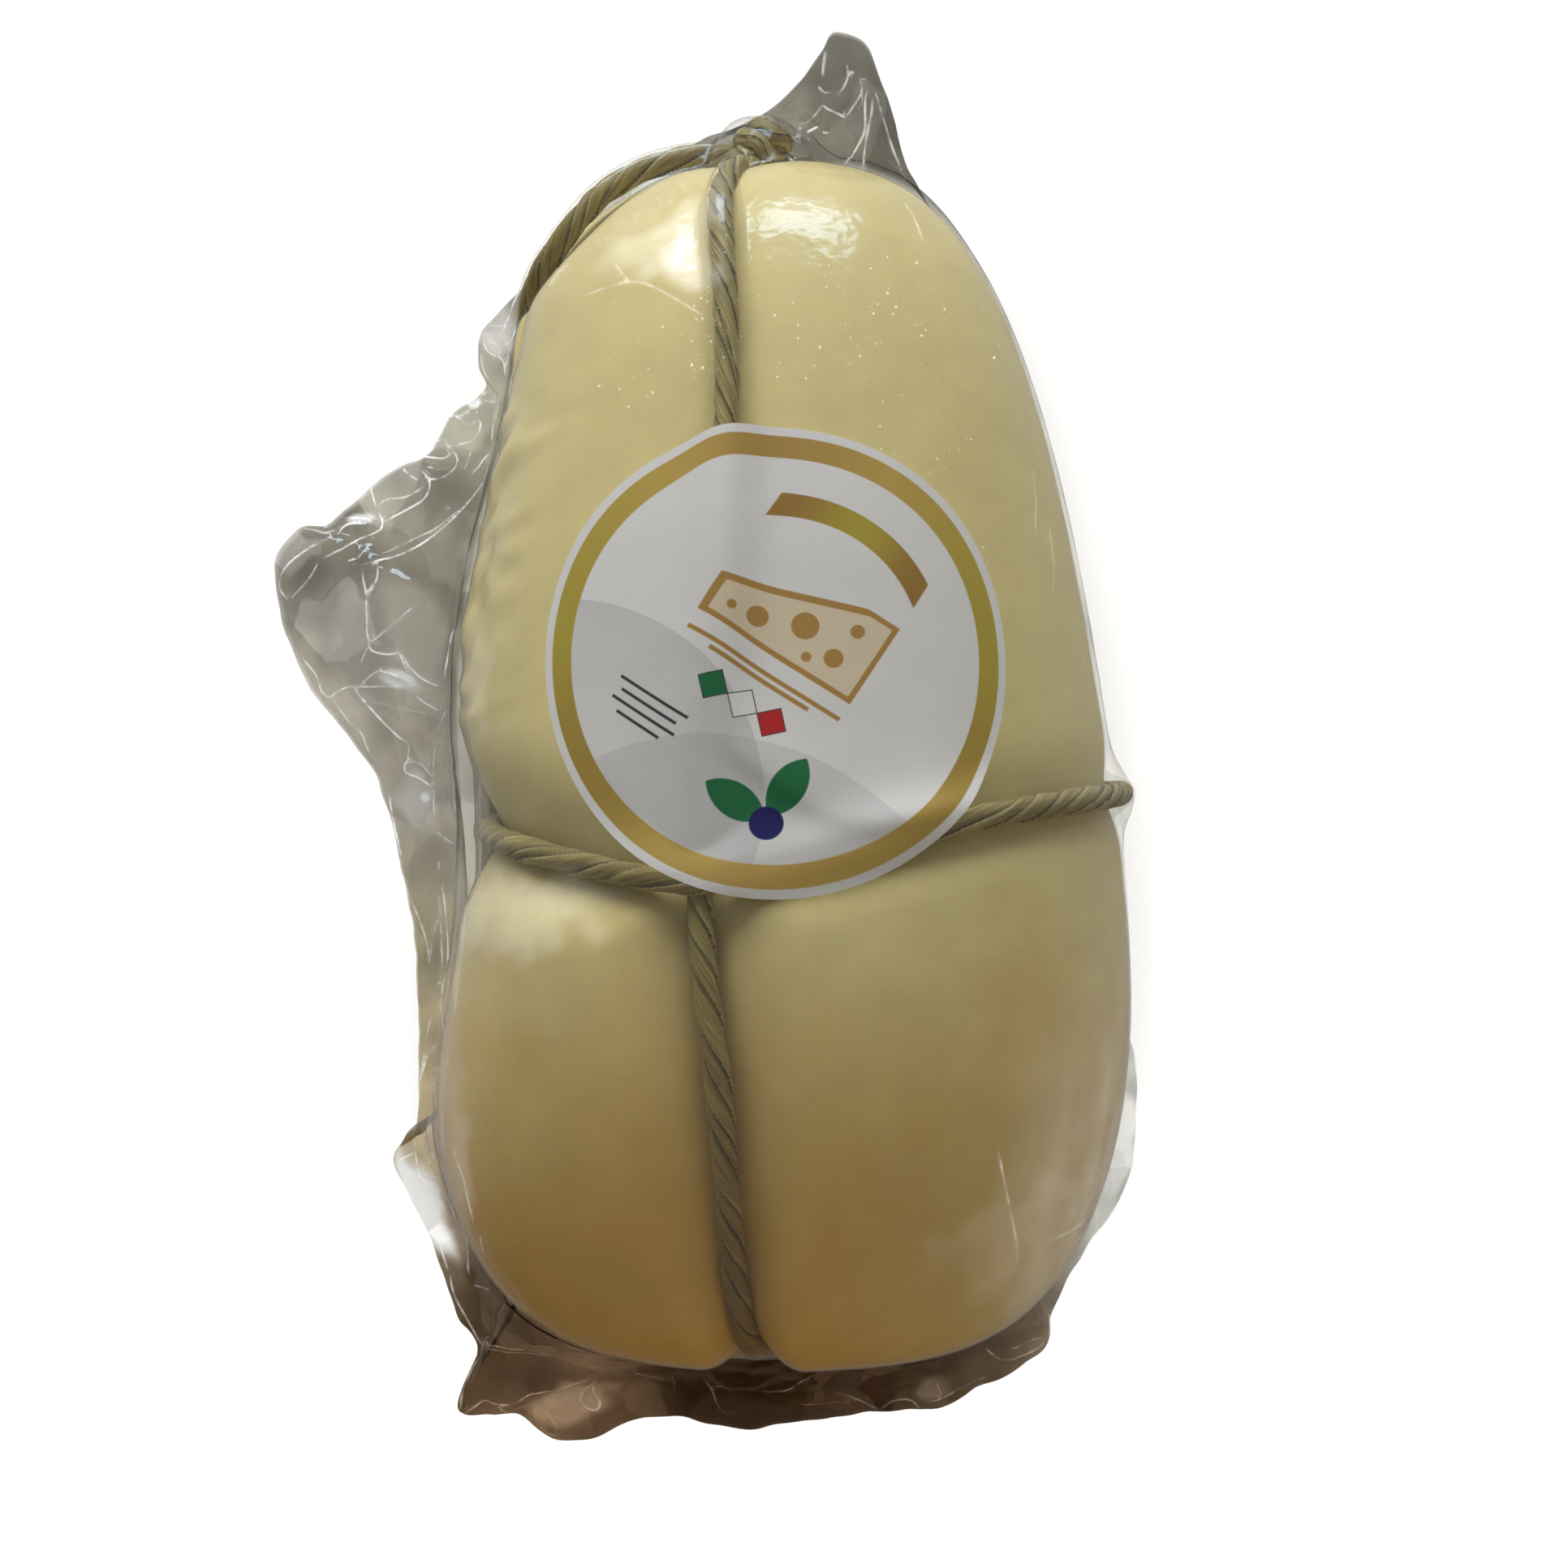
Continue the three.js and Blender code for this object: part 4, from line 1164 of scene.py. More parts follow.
def filmMaterial(name):
    material, tree = newTree(name)
    look = filmLooks[name]
    place = objectPlace(tree)
    fine = noiseNode(tree, place, 330, 2, 0.5)
    height = maths(tree, "MULTIPLY_ADD", fine, 0.2, noiseNode(tree, place, 75, 3, 0.55))
    bump = bumpNode(tree, height, 0.5, look["wrinkle"])
    # facets between folds, painted: each cell a little lighter or darker, as painted light and shade
    inputs = {"Vector": place, "Scale": 45.0, "Detail": 2.0}
    bend = addNode(tree, "ShaderNodeTexNoise", inputs).outputs["Color"]
    bent = blendColour(tree, 0.016, place, bend, "ADD")
    cells = addNode(tree, "ShaderNodeTexVoronoi", {"Vector": bent, "Scale": 70.0}).outputs["Color"]
    facet = addNode(tree, "ShaderNodeSeparateColor", {0: cells}).outputs[0]
    tint = addNode(tree, "ShaderNodeAttribute", attribute_name="tint").outputs["Color"]
    shade = ranged(tree, facet, 0.0, 1.0, 1.0 - look["facets"], 1.0 + 2 * look["facets"])
    tint = blendColour(tree, 1.0, tint, shade, "MULTIPLY")
    clear = addNode(tree, "ShaderNodeBsdfTransparent", {"Color": tint})
    # hazy film sends light back and lets some through
    # in the skirt the haze takes the painted brown of the shadow under the cheese
    milk = blendColour(tree, attributeNode(tree, "skirtShade"), milkColours["plain"], milkColours["skirtShade"])
    backward = addNode(tree, "ShaderNodeBsdfDiffuse", {"Color": milk})
    forward = addNode(tree, "ShaderNodeBsdfTranslucent", {"Color": milk})
    milky = blendShaders(tree, 0.3, backward, forward)
    # the film mirrors alike from both of its faces
    slant = addNode(tree, "ShaderNodeLayerWeight", {"Blend": 0.5, "Normal": bump}).outputs["Facing"]
    cloud = ranged(tree, noiseNode(tree, place, 60, 3, 0.6), 0.35, 0.7, 0.6, 1.25)
    hazy = maths(tree, "MULTIPLY", attributeNode(tree, "haze"), cloud)
    slanting = ranged(tree, slant, 0.6, 1.0, look["haze"], look["haze"] + look["slant"])
    hazy = maths(tree, "ADD", hazy, slanting)
    # a painted highlight on the brighter facets
    hazy = maths(tree, "ADD", hazy, ranged(tree, facet, 0.6, 1.0, 0.0, look["facets"]))
    # a white line along each crease: partly a whitened crease, partly a painted highlight
    crease = ranged(tree, maths(tree, "ABSOLUTE", attributeNode(tree, "off")), 0.06, 0.36, 1.0, 0.0)
    crease = maths(tree, "MULTIPLY", crease, attributeNode(tree, "creaseGlint"))
    uneven = ranged(tree, noiseNode(tree, place, 190, 3, 0.6), 0.36, 0.62, 0.12, 1.0)
    hazy = maths(tree, "ADD", hazy, maths(tree, "MULTIPLY", crease, uneven))
    body = blendShaders(tree, maths(tree, "MINIMUM", hazy, 0.92), clear, milky)
    shine = addNode(tree, "ShaderNodeBsdfGlossy", {"Roughness": look["rough"], "Normal": bump})
    mirror = maths(tree, "MULTIPLY_ADD", maths(tree, "POWER", slant, 4.0), 0.6, 0.05)
    bright = maths(tree, "SUBTRACT", 1.0, attributeNode(tree, "matt"), clamp=True)
    endTree(tree, blendShaders(tree, maths(tree, "MULTIPLY", mirror, bright), body, shine))
    return material


filmPieces = []


def keepFilm(piece):
    filmPieces.append(piece)
    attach(piece, "root")
    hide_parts("film_bag")
    piece.visible_shadow = False  # its tints allow for one passage of light


def wrinkleLines():
    look = stringWrinkles
    random = np.random.default_rng(look["seed"])
    made = []
    for k in range(look["count"]):
        start = mix(np.array(look["from"]), np.array(look["to"]), (k + random.random()) / look["count"])
        heading = math.radians(look["heading"] + random.uniform(-9, 9))
        step = random.uniform(*look["length"]) * np.array([math.cos(heading), math.sin(heading)])
        bend = random.uniform(-0.8, 0.8) * np.array([-step[1], step[0]]) / np.linalg.norm(step)
        made.append((random.uniform(*look["strength"]), [start, start + step / 2 + bend, start + step]))
    return made


def makeSkin():
    angle, distance = surfaceGrid(skinLook["rows"], skinLook["columns"])
    bare = untiedPoint(angle, distance)
    points = bare + outwardAt(angle, distance) * skinHeight(angle, distance, bare)[..., None]
    points[..., 2] = np.maximum(points[..., 2], 0)
    haze = np.zeros(angle.shape)
    # hazy patches, some of them painted highlights and one a painted reflection
    for x, y, wide, long, turn, strength in skinHaze:
        haze = haze + strength * inPatch(points, x, y, wide, long, turn)
    # haze down the right edge: partly film lying double, partly a painted reflection
    rim = 1 - smoothStep(np.degrees(np.abs(angleBetween(0, angle))), rimHaze["from"], rimHaze["to"])
    streaks = 0.75 + 0.5 * noiseAt(points * np.array([1, 0.12, 1]), 5, 14)
    lower = smoothStep(-points[..., 1], rimHaze["lowerFrom"], rimHaze["lowerTo"])
    haze = haze + rim * streaks * mix(rimHaze["upper"], rimHaze["lower"], lower)
    haze = haze * smoothStep(points[..., 1], -120, -98)  # none at the blunt end
    allPoints, faces = closedGrid(points)
    upper = np.concatenate(((np.sin(angle) > -0.3).ravel(), [False, False]))
    off, strong = lineField(allPoints, skinLines + wrinkleLines())
    values = creaseValues(off, strong * upper)
    values["haze"] = np.concatenate((haze.ravel(), [0, 0])) * upper
    matt = rimHaze["matt"] * rim * smoothStep(points[..., 1], -40, -10)
    values["matt"] = np.concatenate((matt.ravel(), [0, 0]))
    values["tint"] = np.tile(skinLook["clear"], (len(allPoints), 1))
    keepFilm(makePiece("film_skin", allPoints, faces, filmMaterial("clear_film"), values=values))
    return points[:, np.sin(angle[0]) > 0.1].reshape(-1, 3)


# The bag's welded edge, from the right of the ear anticlockwise to the right tab.
bagRim = [
    (29, 130, 40), (25.5, 141, 44), (21.5, 151, 48), (18.5, 156.5, 48), (12.5, 157.5, 50), (9.5, 153, 50),
    (4.5, 147, 48), (-3, 141.5, 44), (-15, 137, 40), (-27, 131.6, 38), (-37.2, 124.5, 37), (-46.5, 116.5, 36),
    (-54, 107, 35), (-60, 100.5, 35), (-64.5, 96, 34), (-64.8, 89, 34), (-63.5, 84, 33), (-71.5, 78, 30),
    (-76, 70.5, 30), (-86, 65.5, 28), (-94, 58.5, 27), (-99, 54.5, 28), (-105, 53.5, 29), (-109.5, 47.5, 30),
    (-110, 41, 28), (-109, 32, 24), (-105, 21, 22), (-100.5, 15, 24), (-94, 7, 24), (-89, 0, 24),
    (-85, -11.5, 24), (-82.5, -24, 24), (-80, -37, 24), (-79.5, -55, 23), (-80, -79, 22), (-85, -84.5, 22),
    (-84, -90, 22), (-79, -100, 21), (-74.5, -111, 20), (-71, -122, 19), (-67, -129.5, 18),
    (-71, -142, 18), (-64, -144, 18), (-58, -144, 17), (-49, -150, 16), (-41, -149.5, 16),
    (-31, -145, 17), (-20, -145, 17), (-9, -147.5, 16), (1, -146.5, 16), (10, -145, 17), (22, -143.5, 17),
    (36, -142.5, 17), (46, -137.5, 18), (55, -133, 18), (60.5, -128, 19), (61.5, -122, 19),
    (65, -113.5, 20), (71, -103.5, 20), (75.5, -97, 21), (79, -88, 22), (80, -77.5, 23), (79.5, -62, 24),
]

bagForm = {
    "columns": 960,
    "tightFrom": -34,  # degrees, the right side where the film lies close
    "tightTo": 74,
    "tightGap": 1.2,
    "tightHeight": 26,
    "hugRows": 8,
    "freeRows": 58,
    "weld": 0.9,  # from here to the edge the two layers are one
    "weldBlend": 0.14,
    "weldGap": 0.25,
    "hug": 5,  # how far above its widest line the front layer starts
    "gap": 0.7,
    "loose": {"at": 212, "spread": 20, "rise": 22},  # the lower left, where it starts higher
    "front": {"stand": 2.2, "drop": 0.85, "near": 2, "far": 34},
    "back": {"stand": 1.0, "start": 20, "startLeast": 3, "leave": 14, "leaveLeast": 4},
    "flap": {"out": 0.12, "fall": 0.4, "back": 0.35, "bow": 0.08},  # from the cheese to the edge
    "skirt": (236, 246, 292, 304),  # degrees, where it starts and where it ends
    "folds": 4.5,
    "pleats": (0.3, 2.1),  # everywhere, and more in the skirt
    "crumples": (0.3, 1.1),
    "ragged": 0.6,
    "crease": {"height": 0.8, "width": 0.8},
    "lowest": 0.6,
}

# How each layer of the loose film tints what lies behind it, by direction in degrees. Round the blunt end,
# from 236 to 306 degrees, the deep brown tints are painted shadow under the cheese.
bagTints = [
    (0, (0.80, 0.80, 0.77)), (60, (0.62, 0.61, 0.57)), (78, (0.33, 0.32, 0.29)), (84, (0.33, 0.32, 0.29)),
    (88, (0.46, 0.45, 0.41)), (97, (0.50, 0.49, 0.45)), (112, (0.62, 0.61, 0.55)), (125, (0.61, 0.60, 0.53)),
    (140, (0.54, 0.53, 0.475)), (158, (0.43, 0.41, 0.37)), (172, (0.62, 0.60, 0.55)),
    (186, (0.55, 0.53, 0.48)), (200, (0.57, 0.54, 0.455)), (216, (0.64, 0.59, 0.455)),
    (228, (0.62, 0.56, 0.44)), (236, (0.40, 0.34, 0.265)), (241, (0.22, 0.165, 0.105)),
    (247, (0.31, 0.24, 0.175)), (256, (0.30, 0.225, 0.16)), (262, (0.15, 0.10, 0.055)),
    (278, (0.14, 0.085, 0.045)), (287, (0.24, 0.20, 0.15)), (296, (0.30, 0.26, 0.21)),
    (306, (0.70, 0.70, 0.67)), (330, (0.80, 0.80, 0.77)), (360, (0.80, 0.80, 0.77)),
]

# Patches of the loose film: x, y, half-sizes, turn, haze and tint. The small, strongly hazy ones are painted
# glints, and the deep brown ones round the blunt end are painted shadow under the cheese.
bagPatches = [
    (-80, 27, 12, 17, 0, 0.03, (0.60, 0.58, 0.53)),
    (-91.5, 30, 6, 13, 8, 0.08, (0.50, 0.48, 0.44)),  # frosted part of the wing
    (-82.5, 20.4, 5, 2.2, -20, 0.40, (0.66, 0.66, 0.63)),
    (-79, -5.5, 5, 7, 0, 0.12, (0.64, 0.63, 0.60)),
    (-77.1, -5.6, 1.4, 1.2, 0, 0.55, (0.7, 0.7, 0.68)),
    (-65.9, 81, 2, 1.3, -20, 0.8, (0.8, 0.8, 0.8)),
    (-60.6, 97, 4, 6, 0, 0.12, (0.70, 0.69, 0.67)),
    (-91.5, 55.8, 3.6, 1.1, 0, 0.55, (0.7, 0.7, 0.7)),
    (-78, -96, 15, 5, -62, 0.10, (0.90, 0.90, 0.89)),  # clear tab at the lower left
    (76, -82, 4.6, 13, -4, 0.12, (0.86, 0.86, 0.84)),  # clear tab at the right
    (-46, -140.9, 11, 5, 12, 0.3, (0.42, 0.32, 0.23)),
    (-2.6, -133, 9, 3.4, 0, 0.0, (0.13, 0.075, 0.035)),
    (-5, -124, 8, 5, 0, 0.0, (0.12, 0.07, 0.03)),  # painted shadow in the notch at the end of the string
    (-63, -113, 7, 5, -45, 0.0, (0.26, 0.20, 0.13)),
    (35.5, -137, 4, 3, 30, 0.08, (0.3, 0.25, 0.2)),
]

# Sharp creases in the loose film seen from above: strength and points. Each is raised in the sheet and shows
# as a thin white line, partly a whitened crease and partly a painted highlight.
looseLines = [
    # seal
    (0.9, [(-62.2, 84.2), (-64.2, 82.7), (-65.2, 78.4), (-64.2, 76.5), (-64.5, 74.4), (-66.3, 72.3),
        (-71.1, 71.4)]),
    (0.9, [(-72.5, 73.3), (-71.8, 71.4), (-69.6, 69.3), (-69.4, 67.4), (-71.1, 65.2), (-74, 64),
        (-77.3, 64.5)]),
    (0.9, [(-77.8, 66.3), (-75.8, 64.2), (-75.5, 62), (-76.9, 59.4), (-80.9, 57.2), (-85.7, 55)]),
    (0.8, [(-87.5, 57.6), (-86, 54.7), (-86.7, 52.9), (-91.1, 50.9), (-94.4, 48.8), (-98.8, 46.7)]),
    (0.6, [(-99.9, 45.9), (-101, 43.6), (-103.1, 41.2), (-106.8, 38.3)]),
    (1, [(-70.4, 78.5), (-67.8, 76.5), (-66, 76), (-65.2, 77.3)]),
    (1, [(-77.3, 69.4), (-74.4, 68.9), (-72.2, 68.7), (-70.7, 70)]),
    (0.7, [(-76.5, 67.1), (-72.9, 66.2), (-70.7, 67.4)]),
    (1, [(-82, 66.9), (-80.2, 65.2), (-78.4, 64)]),
    (0.9, [(-87.5, 58.3), (-85.3, 60), (-81.6, 60.1), (-78.7, 61.2), (-76.9, 62.7)]),
    (1, [(-94.8, 56.1), (-91.8, 55.8), (-88.6, 55.6), (-90, 54.5), (-93.3, 54.7), (-95.7, 53.2),
        (-96.2, 52.1)]),
    (0.6, [(-66, 80.5), (-68.5, 78.2), (-72.2, 78), (-75.5, 73.3)]),
    (0.5, [(-75.8, 72.3), (-72.9, 73.1)]),
    (0.6, [(-89.3, 63.1), (-88.7, 60.9), (-87.7, 58)]),
    (0.8, [(-98, 51.2), (-102.4, 48.8), (-106.8, 45.6), (-108.8, 43), (-109, 40.5), (-107.3, 37.9)]),
    (0.6, [(-103.9, 53.6), (-101, 53), (-98.8, 52.3), (-96.9, 53.4)]),
    # wing
    (1, [(-62.3, 66.2), (-63.1, 62.7), (-66.3, 58.3), (-70, 54.3), (-74.4, 51), (-78.7, 48.5),
        (-83.8, 46.5), (-90.4, 45)]),
    (0.55, [(-86, 47.7), (-82.4, 49.1), (-78, 51.2), (-74.7, 52.4), (-71.1, 54.6), (-67.1, 58)]),
    (1, [(-93.3, 45.8), (-91.3, 46.5)]),
    (0.5, [(-91.1, 46.5), (-90, 48.1), (-88.7, 50.1)]),
    (0.7, [(-89.8, 44.8), (-89.7, 42.3), (-88.7, 38.5), (-88.9, 35), (-88.7, 28.9), (-88.7, 28.1)]),
    (0.6, [(-86.6, 45.2), (-86.4, 42.3), (-87.5, 39.7), (-88.4, 37.9)]),
    (0.55, [(-78.2, 35.7), (-81.1, 33.2), (-84.7, 30.6), (-88.4, 28.2)]),
    (0.8, [(-62, 69.4), (-63.4, 67.8), (-64.5, 66.2), (-66.2, 64.9)]),
    (0.4, [(-66.3, 70.3), (-67.4, 67.1), (-68.2, 65.8)]),
    (0.5, [(-60.7, 83.8), (-61.1, 80.5), (-61.4, 76.5), (-61.8, 71.4)]),
    (0.7, [(-71.8, 57.8), (-70.4, 57)]),
    (0.6, [(-88.9, 37.9), (-88.6, 34.3), (-88.8, 30.6), (-88.9, 28.4)]),
    (0.8, [(-88.8, 28.2), (-88, 26.8), (-86.2, 26.1), (-83.3, 25.7), (-81.1, 26.1)]),
    (0.7, [(-81.1, 26.1), (-80.4, 24), (-79.3, 22.2), (-78.5, 21.1)]),
    (1, [(-86.9, 22.4), (-84.7, 22), (-81.5, 20.9), (-79.1, 19.7)]),
    (0.6, [(-93.3, 19.1), (-90.6, 18.9), (-86.2, 18.9), (-81.1, 18.7)]),
    (0.7, [(-86.6, 22.4), (-88.8, 21.1), (-91, 19.5)]),
    (0.4, [(-91, 23.7), (-89.9, 25.9), (-89.1, 27.3)]),
    (0.8, [(-80.4, 25.1), (-77.8, 21.9), (-74.9, 19.7), (-70.5, 17.9)]),
    (0.5, [(-78.9, 18.2), (-76.3, 15.6), (-73.8, 14.2), (-71.4, 12.9)]),
    (1, [(-93.1, 19.1), (-91.3, 16.7), (-88.4, 13.8), (-84.7, 10.2), (-81.8, 7.6), (-80.3, 6.4)]),
    (0.9, [(-67.9, 30.6), (-68.7, 27.7), (-69.2, 24.4), (-69.8, 21.5), (-70.1, 18.2)]),
    (0.5, [(-69.8, 13.1), (-71.2, 10.5), (-72.7, 8.7)]),
    (0.7, [(-105.9, 26.6), (-101.9, 21.7), (-101.2, 18.9), (-99.2, 16.4), (-97.9, 17.3), (-95.7, 18.6),
        (-93.3, 19.2)]),
    (0.5, [(-97.9, 16), (-94.6, 11.6), (-91.7, 9.1), (-90.2, 5), (-87.7, 1.8)]),
    # foot
    (0.8, [(-80.3, 6.3), (-80.3, 3.6), (-81.5, 1.8), (-81.7, 0.5), (-80.4, -0.3), (-78.3, -0.9),
        (-76, -2.3), (-74.4, -3.4)]),
    (0.7, [(-74.5, -1.2), (-76.7, 1.4), (-78.9, 2.5), (-80.4, 2)]),
    (0.5, [(-73, 7.2), (-73.6, 4.3), (-74.3, 1), (-74.5, -3.4), (-74.6, -12.9)]),
    (0.5, [(-68.3, 1.4), (-68.7, -2.3), (-68.8, -7.8), (-68.5, -9.9)]),
    (0.8, [(-85.7, -4.1), (-84.7, -10.3), (-83.6, -15.1), (-82.7, -19.1)]),
    (0.6, [(-74.5, -12.7), (-71.9, -14.3), (-69.4, -15.8)]),
    # swirl
    (0.7, [(-54.5, 107), (-56.3, 103.8), (-57.6, 100.7), (-58, 98.9), (-58.9, 97.1), (-59.2, 95)]),
    (0.6, [(-58.3, 100.7), (-58.1, 99.2), (-59.2, 97.3), (-60.7, 97.2), (-62.3, 97.6)]),
    (0.9, [(-53.8, 104.9), (-54.7, 100.7), (-56, 96.8), (-57, 94.2), (-58.9, 92.4), (-60.5, 90.6)]),
    (0.6, [(-63.9, 94.5), (-63.1, 92.4), (-61.8, 91.1), (-60.5, 90.6), (-59.2, 89.8), (-58.7, 88.2),
        (-58.8, 86.1)]),
    (0.5, [(-62.8, 93.8), (-61.3, 94.7), (-59.7, 95.5), (-58.1, 95.3)]),
    (0.5, [(-62.6, 93.8), (-60.7, 93.5), (-58.9, 93.4), (-57.9, 94.5)]),
    (0.6, [(-57.6, 92.7), (-58, 90.3), (-58.4, 88)]),
    (0.4, [(-64.1, 91.9), (-64, 89.3), (-63.1, 86.7), (-61.3, 84.1)]),
    (0.9, [(-61.8, 83.6), (-63.6, 82.8), (-64.6, 81.5), (-65.9, 80.4), (-67.5, 78.3)]),
    (0.7, [(-60, 83.8), (-60.2, 80.9), (-60.6, 78.3), (-60.9, 76.6)]),
    (0.6, [(-64.1, 81.6), (-62.3, 80.9), (-60.7, 80.4)]),
    # veil
    (0.8, [(-74.1, -19.4), (-73.5, -21.9), (-72.6, -26.6), (-72, -32), (-71.5, -37.4), (-71.4, -42.8),
        (-71.5, -45.6)]),
    (0.6, [(-73.1, -45.6), (-73.1, -42.1), (-73.3, -37.4), (-73.5, -32.4), (-73.8, -27.4),
        (-73.9, -22.7)]),
    (0.7, [(-68.7, -23.5), (-68.6, -28.5), (-69.1, -32.4), (-69.9, -37.4), (-70.2, -40.5),
        (-71.1, -43.6)]),
    (0.6, [(-80.5, -28.5), (-78.9, -32.4), (-77.4, -36.3), (-76.7, -39.8), (-76.6, -42.5)]),
    (0.5, [(-73.9, -31.6), (-75.5, -35.9), (-76.2, -40.5), (-76.8, -42.8)]),
    (1, [(-71.1, -43.2), (-72.4, -45.2), (-72.9, -47.9), (-73.3, -49.8)]),
    (0.9, [(-74.5, -46.7), (-73.1, -46.2)]),
    (0.8, [(-73.5, -49.8), (-73.3, -53.3), (-72.6, -57.6), (-71.8, -61), (-70.6, -64.1), (-68.5, -66.8)]),
    (0.6, [(-72.2, -56.4), (-72.1, -52.9), (-71.8, -49.8)]),
    (0.6, [(-76, -53.7), (-76.8, -56.8), (-77.6, -60.7), (-78.4, -65.3), (-79.3, -69.9)]),
    (0.9, [(-74.3, -60.3), (-76.2, -61.4), (-77.6, -64.5), (-78.6, -67.6)]),
    (0.6, [(-74.5, -61.4), (-75.3, -64.5), (-75.7, -69.9), (-75.5, -76.1)]),
    (0.6, [(-79.8, -80.3), (-79.6, -83.7), (-79, -89.4), (-76.5, -91.7), (-73.1, -94.7)]),
    (0.6, [(-84.5, -86.7), (-81.8, -85.2), (-79.8, -84.3)]),
    (0.5, [(-78.4, -89), (-76.1, -89.2), (-74.6, -89.4)]),
    (0.5, [(-75.4, -92.4), (-73.5, -92.2)]),
    (0.5, [(-78.6, -88.4), (-77.1, -87.1), (-76.1, -85.6)]),
    (0.5, [(-76.1, -76.5), (-75, -84.8), (-73.5, -91.3)]),
    (0.6, [(-72.4, -84.8), (-71.6, -92.4), (-70.5, -98.9)]),
    (0.8, [(-67.8, -101.2), (-67.6, -105.7), (-67.8, -109.5), (-68.2, -111.4)]),
    (0.6, [(-76.1, -100.8), (-74.6, -105.7), (-72.9, -111.4)]),
    # skirt
    (0.7, [(-66.9, -113.9), (-62.9, -113.9)]),
    (0.7, [(-72.7, -111.8), (-71.6, -116.7), (-69.3, -121.3), (-67, -125.8), (-65.5, -128.5)]),
    (1, [(-66.1, -130.8), (-67.7, -134.2), (-69.4, -138), (-70.9, -143.8)]),
    (0.8, [(-64.8, -126.5), (-62.3, -125.4), (-58.1, -125.2), (-53.9, -125.4), (-51.4, -125.2),
        (-48.9, -126.7)]),
    (0.5, [(-49.8, -127.3), (-53.1, -126.9), (-58.1, -126.6), (-64.4, -126.5)]),
    (0.5, [(-64.8, -126.9), (-65.9, -130.4)]),
    (0.9, [(-39.3, -132.9), (-43.1, -134.2), (-47.7, -136.3), (-51.4, -137.5), (-54.8, -138.8),
        (-58.1, -140.9), (-61, -141.3), (-63.6, -140.7), (-64.8, -139.6), (-66.9, -141.3),
        (-70.2, -143.8)]),
    (0.9, [(-39.3, -133.6), (-41.4, -135.9), (-43.1, -138), (-43.7, -140), (-42.6, -142.1), (-40.5, -143),
        (-39.5, -141.9), (-39.7, -140), (-40.8, -138), (-40.5, -135.4)]),
    (0.7, [(-62.3, -141.7), (-60.6, -143.2), (-58.5, -142.8), (-56.9, -141.9), (-54.4, -142.1)]),
    (0.6, [(-54.4, -142.6), (-53.5, -145.5), (-51.4, -148), (-48.1, -149.3)]),
    (0.5, [(-51, -143.4), (-49.8, -145.5), (-48.1, -147.6)]),
    (0.35, [(-23, -133.4), (-22.6, -136.7), (-23, -139.2)]),
    (0.35, [(-16.3, -133.4), (-14.2, -136.7), (-12.9, -140.9), (-10.4, -144.2)]),
    (0.4, [(-38, -132.9), (-33, -133.1), (-28, -134.2), (-23.4, -135.9)]),
    (0.6, [(8.2, -131.6), (5.1, -133.4), (2.5, -136), (-3.1, -137)]),
    (0.4, [(12.8, -138), (17.9, -140), (23.3, -142.9)]),
    (0.5, [(23.8, -142.6), (26.1, -140.8), (30.2, -140.6), (32.7, -143.1)]),
    (0.6, [(33.7, -141.1), (37.3, -140), (41.9, -137.2), (47.5, -134.9)]),
    (0.7, [(46.5, -127.3), (48.6, -129.3), (50.1, -130.8)]),
    (0.9, [(61.1, -120.6), (60.8, -125.7), (58.8, -128.3), (55.2, -130.1), (50.1, -130.8)]),
    (0.6, [(52.1, -127.8), (56.7, -126.5), (59.8, -125.7)]),
    (0.9, [(56.7, -121.1), (56.3, -123.7)]),
    (0.4, [(5.1, -140.6), (11.8, -140.6), (16.9, -141.1)]),
    (0.5, [(35.8, -136), (36.8, -138.5), (37.3, -140)]),
    (0.4, [(-13.8, -136), (-10.7, -134.9), (-9.2, -135.7)]),
    # ear
    (0.6, [(15.2, 151.3), (15.5, 149), (14.7, 146.8), (13.3, 144.9)]),
    (0.9, [(9.1, 146.4), (10, 145.4), (12.2, 145.3)]),
    (0.7, [(18, 149), (18.6, 146.8), (18.3, 144.9), (17.2, 143.5), (16.6, 142.7), (15.2, 140.7)]),
    (0.8, [(10, 142.9), (11.6, 142.1), (13.6, 141.3), (15.2, 140.6)]),
    (1, [(4.7, 138.2), (5.7, 138.1)]),
    (1, [(6.6, 137.5), (8.3, 138.2), (9.5, 138.7)]),
    (1, [(10, 138), (11.8, 137.8)]),
    (0.7, [(2.7, 136.6), (4.4, 135.7), (6.6, 134.3), (7.5, 133.8)]),
    (1, [(1.6, 133.2), (3.6, 131.3), (5.5, 129.9), (7.5, 128.7)]),
    (0.7, [(19.9, 146.8), (19.4, 143.5), (19.4, 138.2), (18.3, 135.5), (16.1, 132.4), (13.8, 128.8)]),
    (0.6, [(18.6, 128.5), (19.1, 131.8), (19.7, 136.6), (20.5, 140.7), (20.8, 144.3)]),
    (0.6, [(20.8, 146.8), (22.4, 142.1), (24.7, 135.5), (26.6, 131), (28, 128)]),
    (1, [(15.9, 150), (16.8, 149.3)]),
    (1, [(18.4, 148.4), (19.7, 147.9)]),
    (0.6, [(10.8, 153.5), (10.2, 150.4), (10, 148.2)]),
    (0.4, [(4.1, 139.3), (6.6, 139.3), (8.6, 141), (10, 142.9)]),
    # right tab
    (0.5, [(73.6, -77.5), (73, -79.9), (72.7, -84.3), (73.2, -88)]),
    (0.5, [(73.3, -84.6), (75.5, -84.6), (77.3, -84.3)]),
    (0.4, [(74.2, -86.7), (75.2, -88.6), (74.2, -91.1)]),
]


